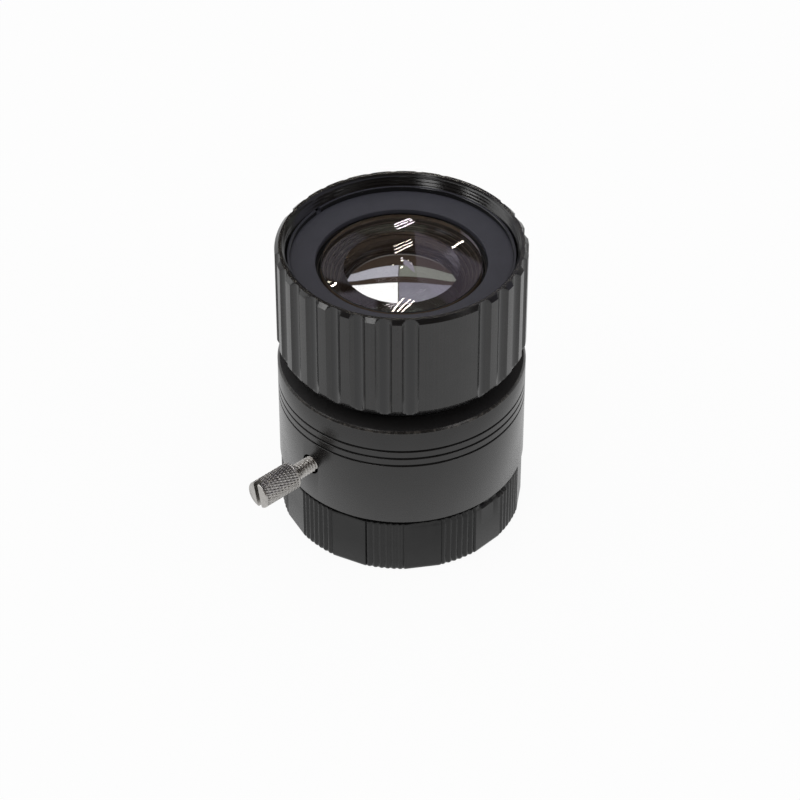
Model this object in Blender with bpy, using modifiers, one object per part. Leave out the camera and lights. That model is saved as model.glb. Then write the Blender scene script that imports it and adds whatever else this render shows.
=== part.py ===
# Compact machine-vision lens with a 1 inch - 32 rear thread, standing on its rear dust cap.
# The optical axis is +Z, the front glass looks up and the origin is the middle of the cap's base.
# Sizes below are in millimetres and MM turns them into metres.

import math

import bmesh
import bpy
from mathutils import Matrix

MM = 0.001

# Clearance between pieces that touch or run in each other, and how far a cutter stands out of what it cuts.
FIT = 0.3
OVERSHOOT = 1.0

# Facets round a large, a medium and a small circle, a scallop's cutter and a pin.
FACET_COUNT_LARGE = 60
FACET_COUNT_MEDIUM = 40
FACET_COUNT_SMALL = 24
FACET_COUNT_FLUTE = 18
FACET_COUNT_PIN = 16

# Rear mount ring with the camera thread, its web and the two guide pins that stop the cell from turning.
MOUNT_THREAD_R = 12.7
MOUNT_THREAD_LENGTH = 3.7
MOUNT_THREAD_WALL = 1.5
MOUNT_THREAD_CHAMFER = 0.4
MOUNT_SPIGOT_HEIGHT = 0.5
MOUNT_WEB_THICKNESS = 1.9
MOUNT_WEB_EDGE = 1.1
PIN_R = 0.6
PIN_INSET = 1.6
PIN_ENGAGEMENT = 2.4

# Moulded dust cap over the thread: ten groups of six ribs, with a flat between one group and the next.
CAP_HEIGHT = 7.5
CAP_FLOOR = 1.5
CAP_WALL = 1.87
CAP_EDGE = 0.35
CAP_GROUPS = 10
CAP_RIBS = 6
CAP_RIB_PITCH_DEG = 3.0
CAP_RIB_DEPTH = 0.27
CAP_TURN_DEG = 2.8

# Main barrel, fixed to the camera, with three turned index lines.
BARREL_OVER_CAP = 0.13
BARREL_WALL = 3.0
BARREL_EDGE = 0.3
INDEX_LINE_WIDTH = 0.25
INDEX_LINE_DEPTH = 0.2
INDEX_LINE_PITCH = 1.1
INDEX_LINE_COUNT = 3
INDEX_LINE_BELOW_TOP = 3.0

# Focusing travel towards the camera and the room that is left at its end.
TRAVEL_BACK = 1.5
STOP_ROOM = 0.5
CELL_ROOM = 0.4

# Focusing barrel, whose outer thread runs in the main barrel, and the nut at its foot.
FOCUS_BARREL_WALL = 0.8
FLANGE_THICKNESS = 1.5
NUT_THICKNESS = 1.0

# Focusing ring with its scalloped grip: thirty places round it, of which some are left plain.
RING_WALL = 1.8
RING_LIP = 1.8
RING_TOP_CHAMFER = 0.45
RING_FOOT_HEIGHT = 1.17
RING_FOOT_INSET = 0.7
FLUTE_PLACE_COUNT = 30
FLUTES_PLAIN = (5, 6, 15, 16, 25, 26)
FLUTE_R = 1.22
FLUTE_DEPTH = 0.55
FLUTE_TURN_DEG = 2.9
FILTER_THREAD_WALL = 1.0
FILTER_RECESS = 1.46
FILTER_MOUTH_CHAMFER = 0.12

# Front bezel with its raised lip, sloping face and two spanner notches.
BEZEL_THICKNESS = 1.8
BEZEL_LIP_CHAMFER = 0.2
BEZEL_LIP_WIDTH = 0.3
BEZEL_LIP_HEIGHT = 0.6
BEZEL_LIP_FOOT = 0.25
BEZEL_FACE_WIDTH = 2.75
BEZEL_FACE_FALL = 0.5
NOTCH_WIDTH = 0.75
NOTCH_FLOOR = 0.05
NOTCH_TURN_DEG = 276.0

# Lens cell: a cup for the front element on a long tube for the other four.
CUP_WALL = 1.6
CUP_RUNNING_ROOM = 0.6
CUP_FLOOR = 5.8
CUP_RIM = 1.0
CUP_BELOW_LEDGE = 0.2
CUP_SEAT_WIDTH = 1.8
CUP_MOUTH_DEPTH = 1.2
CUP_NECK = 4.3
FRONT_BORE_WALL = 2.8
REAR_BORE_WALL = 4.8
STOP_SEAT_THICKNESS = 0.8
STOP_SEAT_WIDTH = 1.8

# Glass, from the front to the rear: thickness at the edge, and how far each face bulges or is hollowed.
FRONT_GLASS_EDGE = 1.49
FRONT_GLASS_BULGE = 0.61
FRONT_GLASS_CENTRE = 0.8
FRONT_GLASS_RIM = 2.8
SECOND_GLASS_EDGE = 1.6
SECOND_GLASS_FRONT_BULGE = 1.4
SECOND_GLASS_REAR_BULGE = 1.2
THIRD_GLASS_EDGE = 2.6
THIRD_GLASS_FRONT_HOLLOW = 0.7
THIRD_GLASS_REAR_HOLLOW = 1.1
FOURTH_GLASS_EDGE = 1.7
FOURTH_GLASS_FRONT_BULGE = 0.8
FOURTH_GLASS_REAR_BULGE = 0.5
FIFTH_GLASS_EDGE = 1.2
FIFTH_GLASS_FRONT_HOLLOW = 0.6
FIFTH_GLASS_REAR_BULGE = 0.65
GLASS_SHOULDER = 1.2

# Rings that hold the glass.
FRONT_RETAINER_WALL = 0.8
FRONT_RETAINER_TAPER = 0.2
FRONT_RETAINER_STEP_COUNT = 3
FRONT_RETAINER_PROUD = 0.1
SECOND_RETAINER_HEIGHT = 1.5
FRONT_SPACER_HEIGHT = 2.7
REAR_RETAINER_HEIGHT = 1.4
REAR_RETAINER_INSET = 0.2
REAR_RETAINER_WALL = 1.1
REAR_SPACER_HEIGHT = 1.4
REAR_SPACER_WALL = 0.9
FRONT_SPACER_WALL = 1.0
APERTURE_THICKNESS = 0.4
APERTURE_R = 2.0

# Focus lock: a knurled thumb screw that bears on a soft pad.
LOCK_ABOVE_FLANGE = 5.4
LOCK_SHANK_R = 1.0
LOCK_PAD_LENGTH = 1.2
LOCK_STAND_OFF = 2.9
LOCK_HEAD_R = 1.72
LOCK_HEAD_LENGTH = 5.5
LOCK_HEAD_CHAMFER = 0.16
LOCK_KNURL_COUNT = 30
LOCK_KNURL_DEPTH = 0.09
LOCK_SLOT_WIDTH = 0.5
LOCK_SLOT_DEPTH = 0.9
LOCK_SLOT_TILT_DEG = 12.8

# Radii, from the camera thread outwards and then in again.
CAP_R = MOUNT_THREAD_R + FIT + CAP_WALL
BARREL_R = CAP_R + BARREL_OVER_CAP
BARREL_BORE_R = BARREL_R - BARREL_WALL
FOCUS_BARREL_R = BARREL_BORE_R - FIT
FOCUS_BARREL_BORE_R = FOCUS_BARREL_R - FOCUS_BARREL_WALL
CELL_TUBE_R = FOCUS_BARREL_BORE_R - FIT
FRONT_BORE_R = CELL_TUBE_R - FRONT_BORE_WALL
FRONT_SET_R = FRONT_BORE_R - FIT
REAR_BORE_R = CELL_TUBE_R - REAR_BORE_WALL
REAR_SET_R = REAR_BORE_R - FIT
REAR_CLEAR_R = REAR_SET_R - GLASS_SHOULDER
PIN_CIRCLE_R = CELL_TUBE_R - PIN_INSET
PIN_HOLE_R = PIN_R + FIT
MOUNT_WEB_OPENING_R = PIN_CIRCLE_R - PIN_HOLE_R - MOUNT_WEB_EDGE
RING_R = BARREL_R
RING_BORE_R = RING_R - RING_WALL
FILTER_THREAD_R = RING_R - FILTER_THREAD_WALL
BEZEL_R = FILTER_THREAD_R - FIT
BEZEL_LIP_R = BEZEL_R - BEZEL_LIP_CHAMFER - BEZEL_LIP_WIDTH
BEZEL_FACE_R = BEZEL_LIP_R - BEZEL_LIP_FOOT
BEZEL_OPENING_R = BEZEL_FACE_R - BEZEL_FACE_WIDTH
CUP_R = RING_BORE_R - CUP_RUNNING_ROOM
CUP_BORE_R = CUP_R - CUP_WALL
FRONT_RETAINER_R = CUP_BORE_R - FIT
FRONT_GLASS_R = FRONT_RETAINER_R - FRONT_RETAINER_WALL - FIT
FRONT_BOWL_R = FRONT_GLASS_R - FRONT_GLASS_RIM

# Heights, from the cap's base up through the rear stack of glass, the stop and the front stack.
THREAD_TOP = CAP_HEIGHT
THREAD_BOTTOM = THREAD_TOP - MOUNT_THREAD_LENGTH
FLANGE_Z = CAP_HEIGHT + FIT
WEB_TOP = FLANGE_Z + MOUNT_SPIGOT_HEIGHT
WEB_BOTTOM = WEB_TOP - MOUNT_WEB_THICKNESS
LOCK_Z = FLANGE_Z + LOCK_ABOVE_FLANGE
LOCK_HOLE_R = LOCK_SHANK_R + FIT
CELL_BOTTOM = WEB_TOP + TRAVEL_BACK + CELL_ROOM
NUT_BOTTOM = CELL_BOTTOM + FIT
NUT_TOP = NUT_BOTTOM + NUT_THICKNESS
PIN_TOP = CELL_BOTTOM + PIN_ENGAGEMENT
GUIDE_HOLE_TOP = PIN_TOP + TRAVEL_BACK + STOP_ROOM
REAR_RETAINER_BOTTOM = CELL_BOTTOM + REAR_RETAINER_INSET
FIFTH_BOTTOM = REAR_RETAINER_BOTTOM + REAR_RETAINER_HEIGHT + FIT
FIFTH_TOP = FIFTH_BOTTOM + FIFTH_GLASS_EDGE
FOURTH_BOTTOM = FIFTH_TOP + FIT
FOURTH_TOP = FOURTH_BOTTOM + FOURTH_GLASS_EDGE
REAR_SPACER_BOTTOM = FOURTH_TOP + FIT
REAR_SPACER_TOP = REAR_SPACER_BOTTOM + REAR_SPACER_HEIGHT
THIRD_BOTTOM = REAR_SPACER_TOP + FIT
THIRD_TOP = THIRD_BOTTOM + THIRD_GLASS_EDGE
REAR_SEAT = THIRD_TOP + FIT
APERTURE_SEAT = REAR_SEAT + STOP_SEAT_THICKNESS
APERTURE_BOTTOM = APERTURE_SEAT + FIT
APERTURE_TOP = APERTURE_BOTTOM + APERTURE_THICKNESS
FRONT_SPACER_BOTTOM = APERTURE_TOP + FIT
FRONT_SPACER_TOP = FRONT_SPACER_BOTTOM + FRONT_SPACER_HEIGHT
SECOND_BOTTOM = FRONT_SPACER_TOP + FIT
SECOND_TOP = SECOND_BOTTOM + SECOND_GLASS_EDGE
SECOND_RETAINER_BOTTOM = SECOND_TOP + FIT
SECOND_RETAINER_TOP = SECOND_RETAINER_BOTTOM + SECOND_RETAINER_HEIGHT
CUP_MOUTH_Z = SECOND_RETAINER_TOP + CUP_NECK
CUP_SEAT = CUP_MOUTH_Z + CUP_MOUTH_DEPTH
CUP_BOTTOM = CUP_SEAT - CUP_FLOOR
FLANGE_TOP = CUP_BOTTOM - FIT
FLANGE_BOTTOM = FLANGE_TOP - FLANGE_THICKNESS
FLANGE_SEAT = FLANGE_BOTTOM - FIT
RING_BOTTOM = FLANGE_SEAT - RING_LIP
BARREL_TOP = RING_BOTTOM - TRAVEL_BACK - STOP_ROOM
FRONT_GLASS_BOTTOM = CUP_SEAT + FIT
FRONT_GLASS_TOP = FRONT_GLASS_BOTTOM + FRONT_GLASS_EDGE
FRONT_BOWL_HOLLOW = FRONT_GLASS_EDGE + FRONT_GLASS_BULGE - FRONT_GLASS_CENTRE
CUP_TOP = CUP_SEAT + CUP_RIM
LEDGE = CUP_TOP + CUP_BELOW_LEDGE
BEZEL_BOTTOM = LEDGE + FIT
BEZEL_TOP = BEZEL_BOTTOM + BEZEL_THICKNESS
LIP_FOOT = BEZEL_TOP - BEZEL_LIP_HEIGHT
RING_TOP = BEZEL_TOP + FILTER_RECESS


def clear_scene():
    for old in list(bpy.data.objects):
        bpy.data.objects.remove(old, do_unlink=True)


def new_collection(name):
    made = bpy.data.collections.new(name)
    bpy.context.scene.collection.children.link(made)
    return made


clear_scene()
PARTS = new_collection("cs_mount_lens")
CUTTERS = new_collection("cs_mount_lens_cutters")
CUTTERS.hide_render = True


def material(name, colour, metallic, roughness, transmission=0.0):
    made = bpy.data.materials.new(name)
    made.use_nodes = True
    shader = made.node_tree.nodes["Principled BSDF"]
    shader.inputs["Base Color"].default_value = (*colour, 1.0)
    shader.inputs["Metallic"].default_value = metallic
    shader.inputs["Roughness"].default_value = roughness
    shader.inputs["Transmission Weight"].default_value = transmission
    made.diffuse_color = (*colour, 1.0)
    return made


def add_part(name, mesh, look):
    mesh.materials.clear()
    mesh.materials.append(look)
    made = bpy.data.objects.new(name, mesh)
    PARTS.objects.link(made)
    return made


def add_cutter(name, mesh):
    made = bpy.data.objects.new(name, mesh)
    made.hide_render = True
    made.display_type = "WIRE"
    CUTTERS.objects.link(made)
    return made


def profile_mesh(name, profile):
    """The line that a Screw modifier turns: open where it starts and ends on the axis, closed elsewhere."""
    mesh = bpy.data.meshes.new(name)
    last = len(profile) - 1
    edges = [(i, i + 1) for i in range(last)]
    if profile[0][0] > 0:
        edges.append((last, 0))
    mesh.from_pydata([(r * MM, 0, z * MM) for r, z in profile], edges, [])
    return mesh


def turn(obj, steps):
    screw = obj.modifiers.new("Turned", "SCREW")
    screw.axis = "Z"
    screw.angle = math.tau
    screw.steps = steps
    screw.render_steps = steps
    screw.use_merge_vertices = True
    screw.merge_threshold = 1e-6
    return obj


def turned(name, profile, look, steps):
    return turn(add_part(name, profile_mesh(name, profile), look), steps)


def turned_cutter(name, profile, steps):
    return turn(add_cutter(name, profile_mesh(name, profile)), steps)


def cylinder_mesh(name, radius, low, high, steps, at=(0, 0)):
    """A cylinder along Z from one height to another."""
    mesh = bpy.data.meshes.new(name)
    shape = bmesh.new()
    bmesh.ops.create_cone(
        shape, cap_ends=True, segments=steps, radius1=radius * MM, radius2=radius * MM, depth=(high - low) * MM
    )
    bmesh.ops.translate(shape, verts=shape.verts, vec=(at[0] * MM, at[1] * MM, (low + high) / 2 * MM))
    shape.to_mesh(mesh)
    shape.free()
    return mesh


def outline_mesh(name, points, low, high):
    """A flat outline raised between two heights: a filled curve made a mesh."""
    curve = bpy.data.curves.new(name, "CURVE")
    curve.dimensions = "2D"
    curve.fill_mode = "BOTH"
    curve.extrude = (high - low) / 2 * MM
    spline = curve.splines.new("POLY")
    spline.points.add(len(points) - 1)
    for place, (x, y) in zip(spline.points, points):
        place.co = (x * MM, y * MM, 0, 1)
    spline.use_cyclic_u = True
    drawn = bpy.data.objects.new(name, curve)
    CUTTERS.objects.link(drawn)
    bpy.context.view_layer.update()
    mesh = bpy.data.meshes.new_from_object(drawn.evaluated_get(bpy.context.evaluated_depsgraph_get()))
    bpy.data.objects.remove(drawn)
    bpy.data.curves.remove(curve)
    shape = bmesh.new()
    shape.from_mesh(mesh)
    bmesh.ops.remove_doubles(shape, verts=shape.verts, dist=1e-6)
    bmesh.ops.recalc_face_normals(shape, faces=shape.faces)
    bmesh.ops.translate(shape, verts=shape.verts, vec=(0, 0, (low + high) / 2 * MM))
    shape.to_mesh(mesh)
    shape.free()
    return mesh


def boolean(obj, other, operation="DIFFERENCE"):
    cut = obj.modifiers.new(other.name, "BOOLEAN")
    cut.operation = operation
    cut.solver = "EXACT"
    cut.object = other


def settle(obj, angle_deg=30.0):
    """Applies the modifiers, then shades round faces smooth up to the sharp edges."""
    bpy.context.view_layer.update()
    held = obj.evaluated_get(bpy.context.evaluated_depsgraph_get())
    mesh = bpy.data.meshes.new_from_object(held)
    raw = obj.data
    obj.modifiers.clear()
    obj.data = mesh
    bpy.data.meshes.remove(raw)
    mesh.name = obj.name
    mesh.shade_smooth()
    mesh.set_sharp_from_angle(angle=math.radians(angle_deg))
    return obj


def around(radius, turn_deg):
    """A point on a circle: zero degrees is towards -Y and the angle grows towards +X."""
    angle = math.radians(turn_deg)
    return radius * math.sin(angle), -radius * math.cos(angle)


def rise(bulge, reach, at):
    """Height above its rim, at a distance from the axis, of a round face that rises by bulge inside reach."""
    radius = (reach * reach + bulge * bulge) / (2 * bulge)
    return math.copysign(math.sqrt(radius * radius - at * at), radius) - radius + bulge


def dome(reach, level, bulge, count):
    """Points of a round face from the axis out to reach, where it meets level; below zero, a bulge is a hollow."""
    steps = [reach * i / count for i in range(count + 1)]
    return [(r, level + rise(bulge, reach, r)) for r in steps]


def lens_profile(edge_r, bottom, top, clear_r, front_bulge, rear_bulge, count):
    """Half section of an element; a bulge is measured upwards, and flat shoulders lie outside clear_r."""
    face = dome(clear_r, top, front_bulge, count)
    back = dome(clear_r, bottom, rear_bulge, count)
    return [*face, (edge_r, top), (edge_r, bottom), *reversed(back)]


def ring_profile(outer, inner, bottom, top):
    return [(outer, top), (outer, bottom), (inner, bottom), (inner, top)]


BLACK_ANODISED = material("black_anodised", (0.022, 0.022, 0.024), 0.6, 0.42)
BLACK_GRIP = material("black_grip", (0.018, 0.018, 0.02), 0.6, 0.45)
BLACK_CAP = material("black_moulded_cap", (0.016, 0.016, 0.017), 0.0, 0.5)
BEZEL_SLATE = material("slate_bezel", (0.045, 0.047, 0.062), 0.1, 0.55)
INNER_BLACK = material("inner_black", (0.01, 0.01, 0.01), 0.1, 0.7)
STEEL = material("plated_steel", (0.42, 0.4, 0.37), 1.0, 0.35)
BRASS = material("brass", (0.55, 0.42, 0.2), 1.0, 0.35)
NYLON = material("nylon_pad", (0.7, 0.68, 0.6), 0.0, 0.5)
COATED_GLASS = material("coated_glass", (0.16, 0.12, 0.1), 0.0, 0.03, 0.9)
CLEAR_GLASS = material("clear_glass", (0.7, 0.75, 0.72), 0.0, 0.03, 0.95)


# Main barrel
def barrel_profile():
    outer = [(BARREL_R - BARREL_EDGE, BARREL_TOP), (BARREL_R, BARREL_TOP - BARREL_EDGE)]
    for line in range(INDEX_LINE_COUNT):
        middle = BARREL_TOP - INDEX_LINE_BELOW_TOP - line * INDEX_LINE_PITCH
        high = middle + INDEX_LINE_WIDTH / 2
        low = middle - INDEX_LINE_WIDTH / 2
        floor = BARREL_R - INDEX_LINE_DEPTH
        outer += [(BARREL_R, high), (floor, middle), (BARREL_R, low)]
    outer += [(BARREL_R, FLANGE_Z + BARREL_EDGE), (BARREL_R - BARREL_EDGE, FLANGE_Z)]
    return [*outer, (BARREL_BORE_R, FLANGE_Z), (BARREL_BORE_R, BARREL_TOP)]


main_barrel = turned("main_barrel", barrel_profile(), BLACK_ANODISED, FACET_COUNT_LARGE)
HOLE_START = BARREL_BORE_R - OVERSHOOT
HOLE_END = BARREL_R + OVERSHOOT
lock_hole = add_cutter(
    "cut_lock_hole", cylinder_mesh("cut_lock_hole", LOCK_HOLE_R, HOLE_START, HOLE_END, FACET_COUNT_SMALL)
)
lock_hole.location = (0, 0, LOCK_Z * MM)
lock_hole.rotation_euler = (math.radians(90), 0, 0)
boolean(main_barrel, lock_hole)
settle(main_barrel)

# Mount ring with the rear thread's tube, screwed into the barrel from below
mount_ring = turned(
    "mount_ring",
    [
        (FOCUS_BARREL_R, WEB_TOP),
        (FOCUS_BARREL_R, THREAD_TOP),
        (MOUNT_THREAD_R, THREAD_TOP),
        (MOUNT_THREAD_R, THREAD_BOTTOM + MOUNT_THREAD_CHAMFER),
        (MOUNT_THREAD_R - MOUNT_THREAD_CHAMFER, THREAD_BOTTOM),
        (MOUNT_THREAD_R - MOUNT_THREAD_WALL, THREAD_BOTTOM),
        (MOUNT_THREAD_R - MOUNT_THREAD_WALL, WEB_BOTTOM),
        (MOUNT_WEB_OPENING_R, WEB_BOTTOM),
        (MOUNT_WEB_OPENING_R, WEB_TOP),
    ],
    BLACK_ANODISED,
    FACET_COUNT_MEDIUM,
)


# Guide pins, pressed into the web and sliding in the cell
def pin_hole(name, side, low, high):
    at = (side * PIN_CIRCLE_R, 0)
    return add_cutter(name, cylinder_mesh(name, PIN_HOLE_R, low, high, FACET_COUNT_PIN, at))


pin_mesh = cylinder_mesh("guide_pin", PIN_R, WEB_BOTTOM, PIN_TOP, FACET_COUNT_PIN)
for number, side in ((1, 1), (2, -1)):
    boolean(mount_ring, pin_hole(f"cut_web_pin_{number}", side, WEB_BOTTOM - OVERSHOOT, WEB_TOP + OVERSHOOT))
    pin = add_part(f"guide_pin_{number}", pin_mesh, STEEL)
    pin.location = (side * PIN_CIRCLE_R * MM, 0, 0)
settle(mount_ring)
pin_mesh.shade_smooth()
pin_mesh.set_sharp_from_angle(angle=math.radians(30))


# Rear dust cap
def cap_outline():
    """Six pointed ribs to a group, then a chord to the next group."""
    points = []
    root = CAP_R - CAP_RIB_DEPTH
    half = CAP_RIBS * CAP_RIB_PITCH_DEG / 2
    chord_end = root / math.cos(math.radians(180 / CAP_GROUPS - half))
    for group in range(CAP_GROUPS):
        middle = CAP_TURN_DEG + group * 360 / CAP_GROUPS
        points.append(around(chord_end, middle - half))
        for rib in range(CAP_RIBS):
            crest = middle - half + (rib + 0.5) * CAP_RIB_PITCH_DEG
            points.append(around(CAP_R, crest - CAP_RIB_PITCH_DEG / 5))
            points.append(around(CAP_R, crest + CAP_RIB_PITCH_DEG / 5))
            if rib < CAP_RIBS - 1:
                points.append(around(root, crest + CAP_RIB_PITCH_DEG / 2))
        points.append(around(chord_end, middle + half))
    return points


rear_cap = add_part("rear_cap", outline_mesh("rear_cap", cap_outline(), 0, CAP_HEIGHT), BLACK_CAP)
cap_form = turned_cutter(
    "form_cap",
    [
        (0, CAP_HEIGHT + OVERSHOOT),
        (CAP_R + FIT, CAP_HEIGHT + OVERSHOOT),
        (CAP_R + FIT, CAP_EDGE),
        (CAP_R - CAP_EDGE, 0),
        (0, 0),
    ],
    FACET_COUNT_LARGE,
)
cap_bore = add_cutter(
    "cut_cap_bore",
    cylinder_mesh("cut_cap_bore", MOUNT_THREAD_R + FIT, CAP_FLOOR, CAP_HEIGHT + OVERSHOOT, FACET_COUNT_MEDIUM),
)
boolean(rear_cap, cap_form, "INTERSECT")
boolean(rear_cap, cap_bore)
settle(rear_cap)


# Focusing ring
def flute_mesh(name, low, high):
    """All the cutters of the scallops as one mesh of separate cylinders."""
    mesh = bpy.data.meshes.new(name)
    shape = bmesh.new()
    centre_r = RING_R - FLUTE_DEPTH + FLUTE_R
    for place in range(FLUTE_PLACE_COUNT):
        if place in FLUTES_PLAIN:
            continue
        x, y = around(centre_r, FLUTE_TURN_DEG + place * 360 / FLUTE_PLACE_COUNT)
        size = {"radius1": FLUTE_R * MM, "radius2": FLUTE_R * MM, "depth": (high - low) * MM}
        made = bmesh.ops.create_cone(shape, cap_ends=True, segments=FACET_COUNT_FLUTE, **size)
        bmesh.ops.translate(shape, verts=made["verts"], vec=(x * MM, y * MM, (low + high) / 2 * MM))
    shape.to_mesh(mesh)
    shape.free()
    return mesh


focus_ring = turned(
    "focus_ring",
    [
        (RING_R - RING_TOP_CHAMFER, RING_TOP),
        (RING_R, RING_TOP - RING_TOP_CHAMFER),
        (RING_R, RING_BOTTOM + RING_FOOT_HEIGHT),
        (RING_R - RING_FOOT_INSET, RING_BOTTOM),
        (BARREL_BORE_R, RING_BOTTOM),
        (BARREL_BORE_R, FLANGE_SEAT),
        (RING_BORE_R, FLANGE_SEAT),
        (RING_BORE_R, LEDGE),
        (FILTER_THREAD_R, LEDGE),
        (FILTER_THREAD_R, RING_TOP - FILTER_MOUTH_CHAMFER),
        (FILTER_THREAD_R + FILTER_MOUTH_CHAMFER, RING_TOP),
    ],
    BLACK_GRIP,
    3 * FLUTE_PLACE_COUNT,
)
flutes = add_cutter("cut_flutes", flute_mesh("cut_flutes", RING_BOTTOM - OVERSHOOT, RING_TOP + OVERSHOOT))
boolean(focus_ring, flutes)
settle(focus_ring)

# Focusing barrel, seen as the dark neck between the two grips; its flange is held in the ring
focus_barrel = turned(
    "focus_barrel",
    [
        (RING_BORE_R - FIT, FLANGE_TOP),
        (RING_BORE_R - FIT, FLANGE_BOTTOM),
        (FOCUS_BARREL_R, FLANGE_BOTTOM),
        (FOCUS_BARREL_R, NUT_TOP + FIT),
        (FOCUS_BARREL_BORE_R, NUT_TOP + FIT),
        (FOCUS_BARREL_BORE_R, FLANGE_TOP),
    ],
    INNER_BLACK,
    FACET_COUNT_MEDIUM,
)
settle(focus_barrel)

# Front bezel in the mouth of the focusing ring
front_bezel = turned(
    "front_bezel",
    [
        (BEZEL_R - BEZEL_LIP_CHAMFER, BEZEL_TOP),
        (BEZEL_R, BEZEL_TOP - BEZEL_LIP_CHAMFER),
        (BEZEL_R, BEZEL_BOTTOM),
        (BEZEL_OPENING_R, BEZEL_BOTTOM),
        (BEZEL_OPENING_R, LIP_FOOT - BEZEL_FACE_FALL),
        (BEZEL_FACE_R, LIP_FOOT),
        (BEZEL_LIP_R, LIP_FOOT),
        (BEZEL_LIP_R, BEZEL_TOP),
    ],
    BEZEL_SLATE,
    FACET_COUNT_LARGE,
)
for number in (1, 2):
    notch = add_cutter(f"cut_notch_{number}", bpy.data.meshes.new(f"cut_notch_{number}"))
    block = bmesh.new()
    bmesh.ops.create_cube(block, size=1.0)
    lip = FILTER_THREAD_R - BEZEL_FACE_R
    size = (NOTCH_WIDTH * MM, 2 * lip * MM, BEZEL_LIP_HEIGHT * MM)
    place = (0, -(BEZEL_FACE_R + lip) * MM, BEZEL_LIP_HEIGHT / 2 * MM)
    bmesh.ops.scale(block, verts=block.verts, vec=size)
    bmesh.ops.translate(block, verts=block.verts, vec=place)
    block.to_mesh(notch.data)
    block.free()
    notch.location = (0, 0, (LIP_FOOT + NOTCH_FLOOR) * MM)
    notch.rotation_euler = (0, 0, math.radians(NOTCH_TURN_DEG + 180 * number))
    boolean(front_bezel, notch)
settle(front_bezel)

# Lens cell
lens_cell = turned(
    "lens_cell",
    [
        (CUP_R, CUP_TOP),
        (CUP_R, CUP_BOTTOM),
        (CELL_TUBE_R, CUP_BOTTOM),
        (CELL_TUBE_R, CELL_BOTTOM),
        (REAR_BORE_R, CELL_BOTTOM),
        (REAR_BORE_R, REAR_SEAT),
        (REAR_BORE_R - STOP_SEAT_WIDTH, REAR_SEAT),
        (REAR_BORE_R - STOP_SEAT_WIDTH, APERTURE_SEAT),
        (FRONT_BORE_R, APERTURE_SEAT),
        (FRONT_BORE_R, CUP_MOUTH_Z),
        (CUP_BORE_R - CUP_SEAT_WIDTH, CUP_SEAT),
        (CUP_BORE_R, CUP_SEAT),
        (CUP_BORE_R, CUP_TOP),
    ],
    INNER_BLACK,
    FACET_COUNT_MEDIUM,
)
for number, side in ((1, 1), (2, -1)):
    boolean(lens_cell, pin_hole(f"cut_cell_pin_{number}", side, CELL_BOTTOM - OVERSHOOT, GUIDE_HOLE_TOP))
settle(lens_cell)

# Nut that keeps the cell in the turning barrel
settle(
    turned(
        "cell_nut",
        ring_profile(FOCUS_BARREL_R, FOCUS_BARREL_BORE_R, NUT_BOTTOM, NUT_TOP),
        BRASS,
        FACET_COUNT_MEDIUM,
    )
)

# Front element: a weak dome outwards and a bowl behind, with a flat shoulder round the bowl
front_face = dome(FRONT_GLASS_R, FRONT_GLASS_TOP, FRONT_GLASS_BULGE, 8)
front_back = dome(FRONT_BOWL_R, FRONT_GLASS_BOTTOM, FRONT_BOWL_HOLLOW, 5)
front_element = turned(
    "front_element",
    [*front_face, (FRONT_GLASS_R, FRONT_GLASS_BOTTOM), *reversed(front_back)],
    COATED_GLASS,
    FACET_COUNT_MEDIUM,
)
settle(front_element, 20)


# Black ring round the front element, with light-trap steps down its bore
def front_retainer_profile():
    mouth = CUP_TOP + FRONT_RETAINER_PROUD
    throat = FRONT_GLASS_R + FIT
    foot = CUP_SEAT + FIT
    tread = (mouth - foot) / FRONT_RETAINER_STEP_COUNT
    run = FRONT_RETAINER_TAPER / (FRONT_RETAINER_STEP_COUNT - 1)
    points = [(FRONT_RETAINER_R, mouth), (FRONT_RETAINER_R, foot), (throat, foot)]
    for step in range(FRONT_RETAINER_STEP_COUNT - 1):
        level = foot + (step + 1) * tread
        points.append((throat + step * run, level))
        points.append((throat + (step + 1) * run, level))
    return [*points, (throat + FRONT_RETAINER_TAPER, mouth)]


front_retainer = turned("front_retainer", front_retainer_profile(), INNER_BLACK, FACET_COUNT_MEDIUM)
settle(front_retainer)

# Second element with its retainer, and the spacer and the fixed stop that lie below it
SPACER_BORE_R = FRONT_SET_R - FRONT_SPACER_WALL
settle(
    turned(
        "second_retainer",
        ring_profile(FRONT_SET_R, SPACER_BORE_R, SECOND_RETAINER_BOTTOM, SECOND_RETAINER_TOP),
        INNER_BLACK,
        FACET_COUNT_SMALL,
    )
)
settle(
    turned(
        "second_element",
        lens_profile(
            FRONT_SET_R,
            SECOND_BOTTOM,
            SECOND_TOP,
            SPACER_BORE_R - FIT,
            SECOND_GLASS_FRONT_BULGE,
            -SECOND_GLASS_REAR_BULGE,
            4,
        ),
        CLEAR_GLASS,
        FACET_COUNT_SMALL,
    ),
    20,
)
settle(
    turned(
        "front_spacer",
        ring_profile(FRONT_SET_R, SPACER_BORE_R, FRONT_SPACER_BOTTOM, FRONT_SPACER_TOP),
        INNER_BLACK,
        FACET_COUNT_SMALL,
    )
)
settle(
    turned(
        "aperture_stop",
        ring_profile(FRONT_SET_R, APERTURE_R, APERTURE_BOTTOM, APERTURE_TOP),
        INNER_BLACK,
        FACET_COUNT_SMALL,
    )
)

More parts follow.
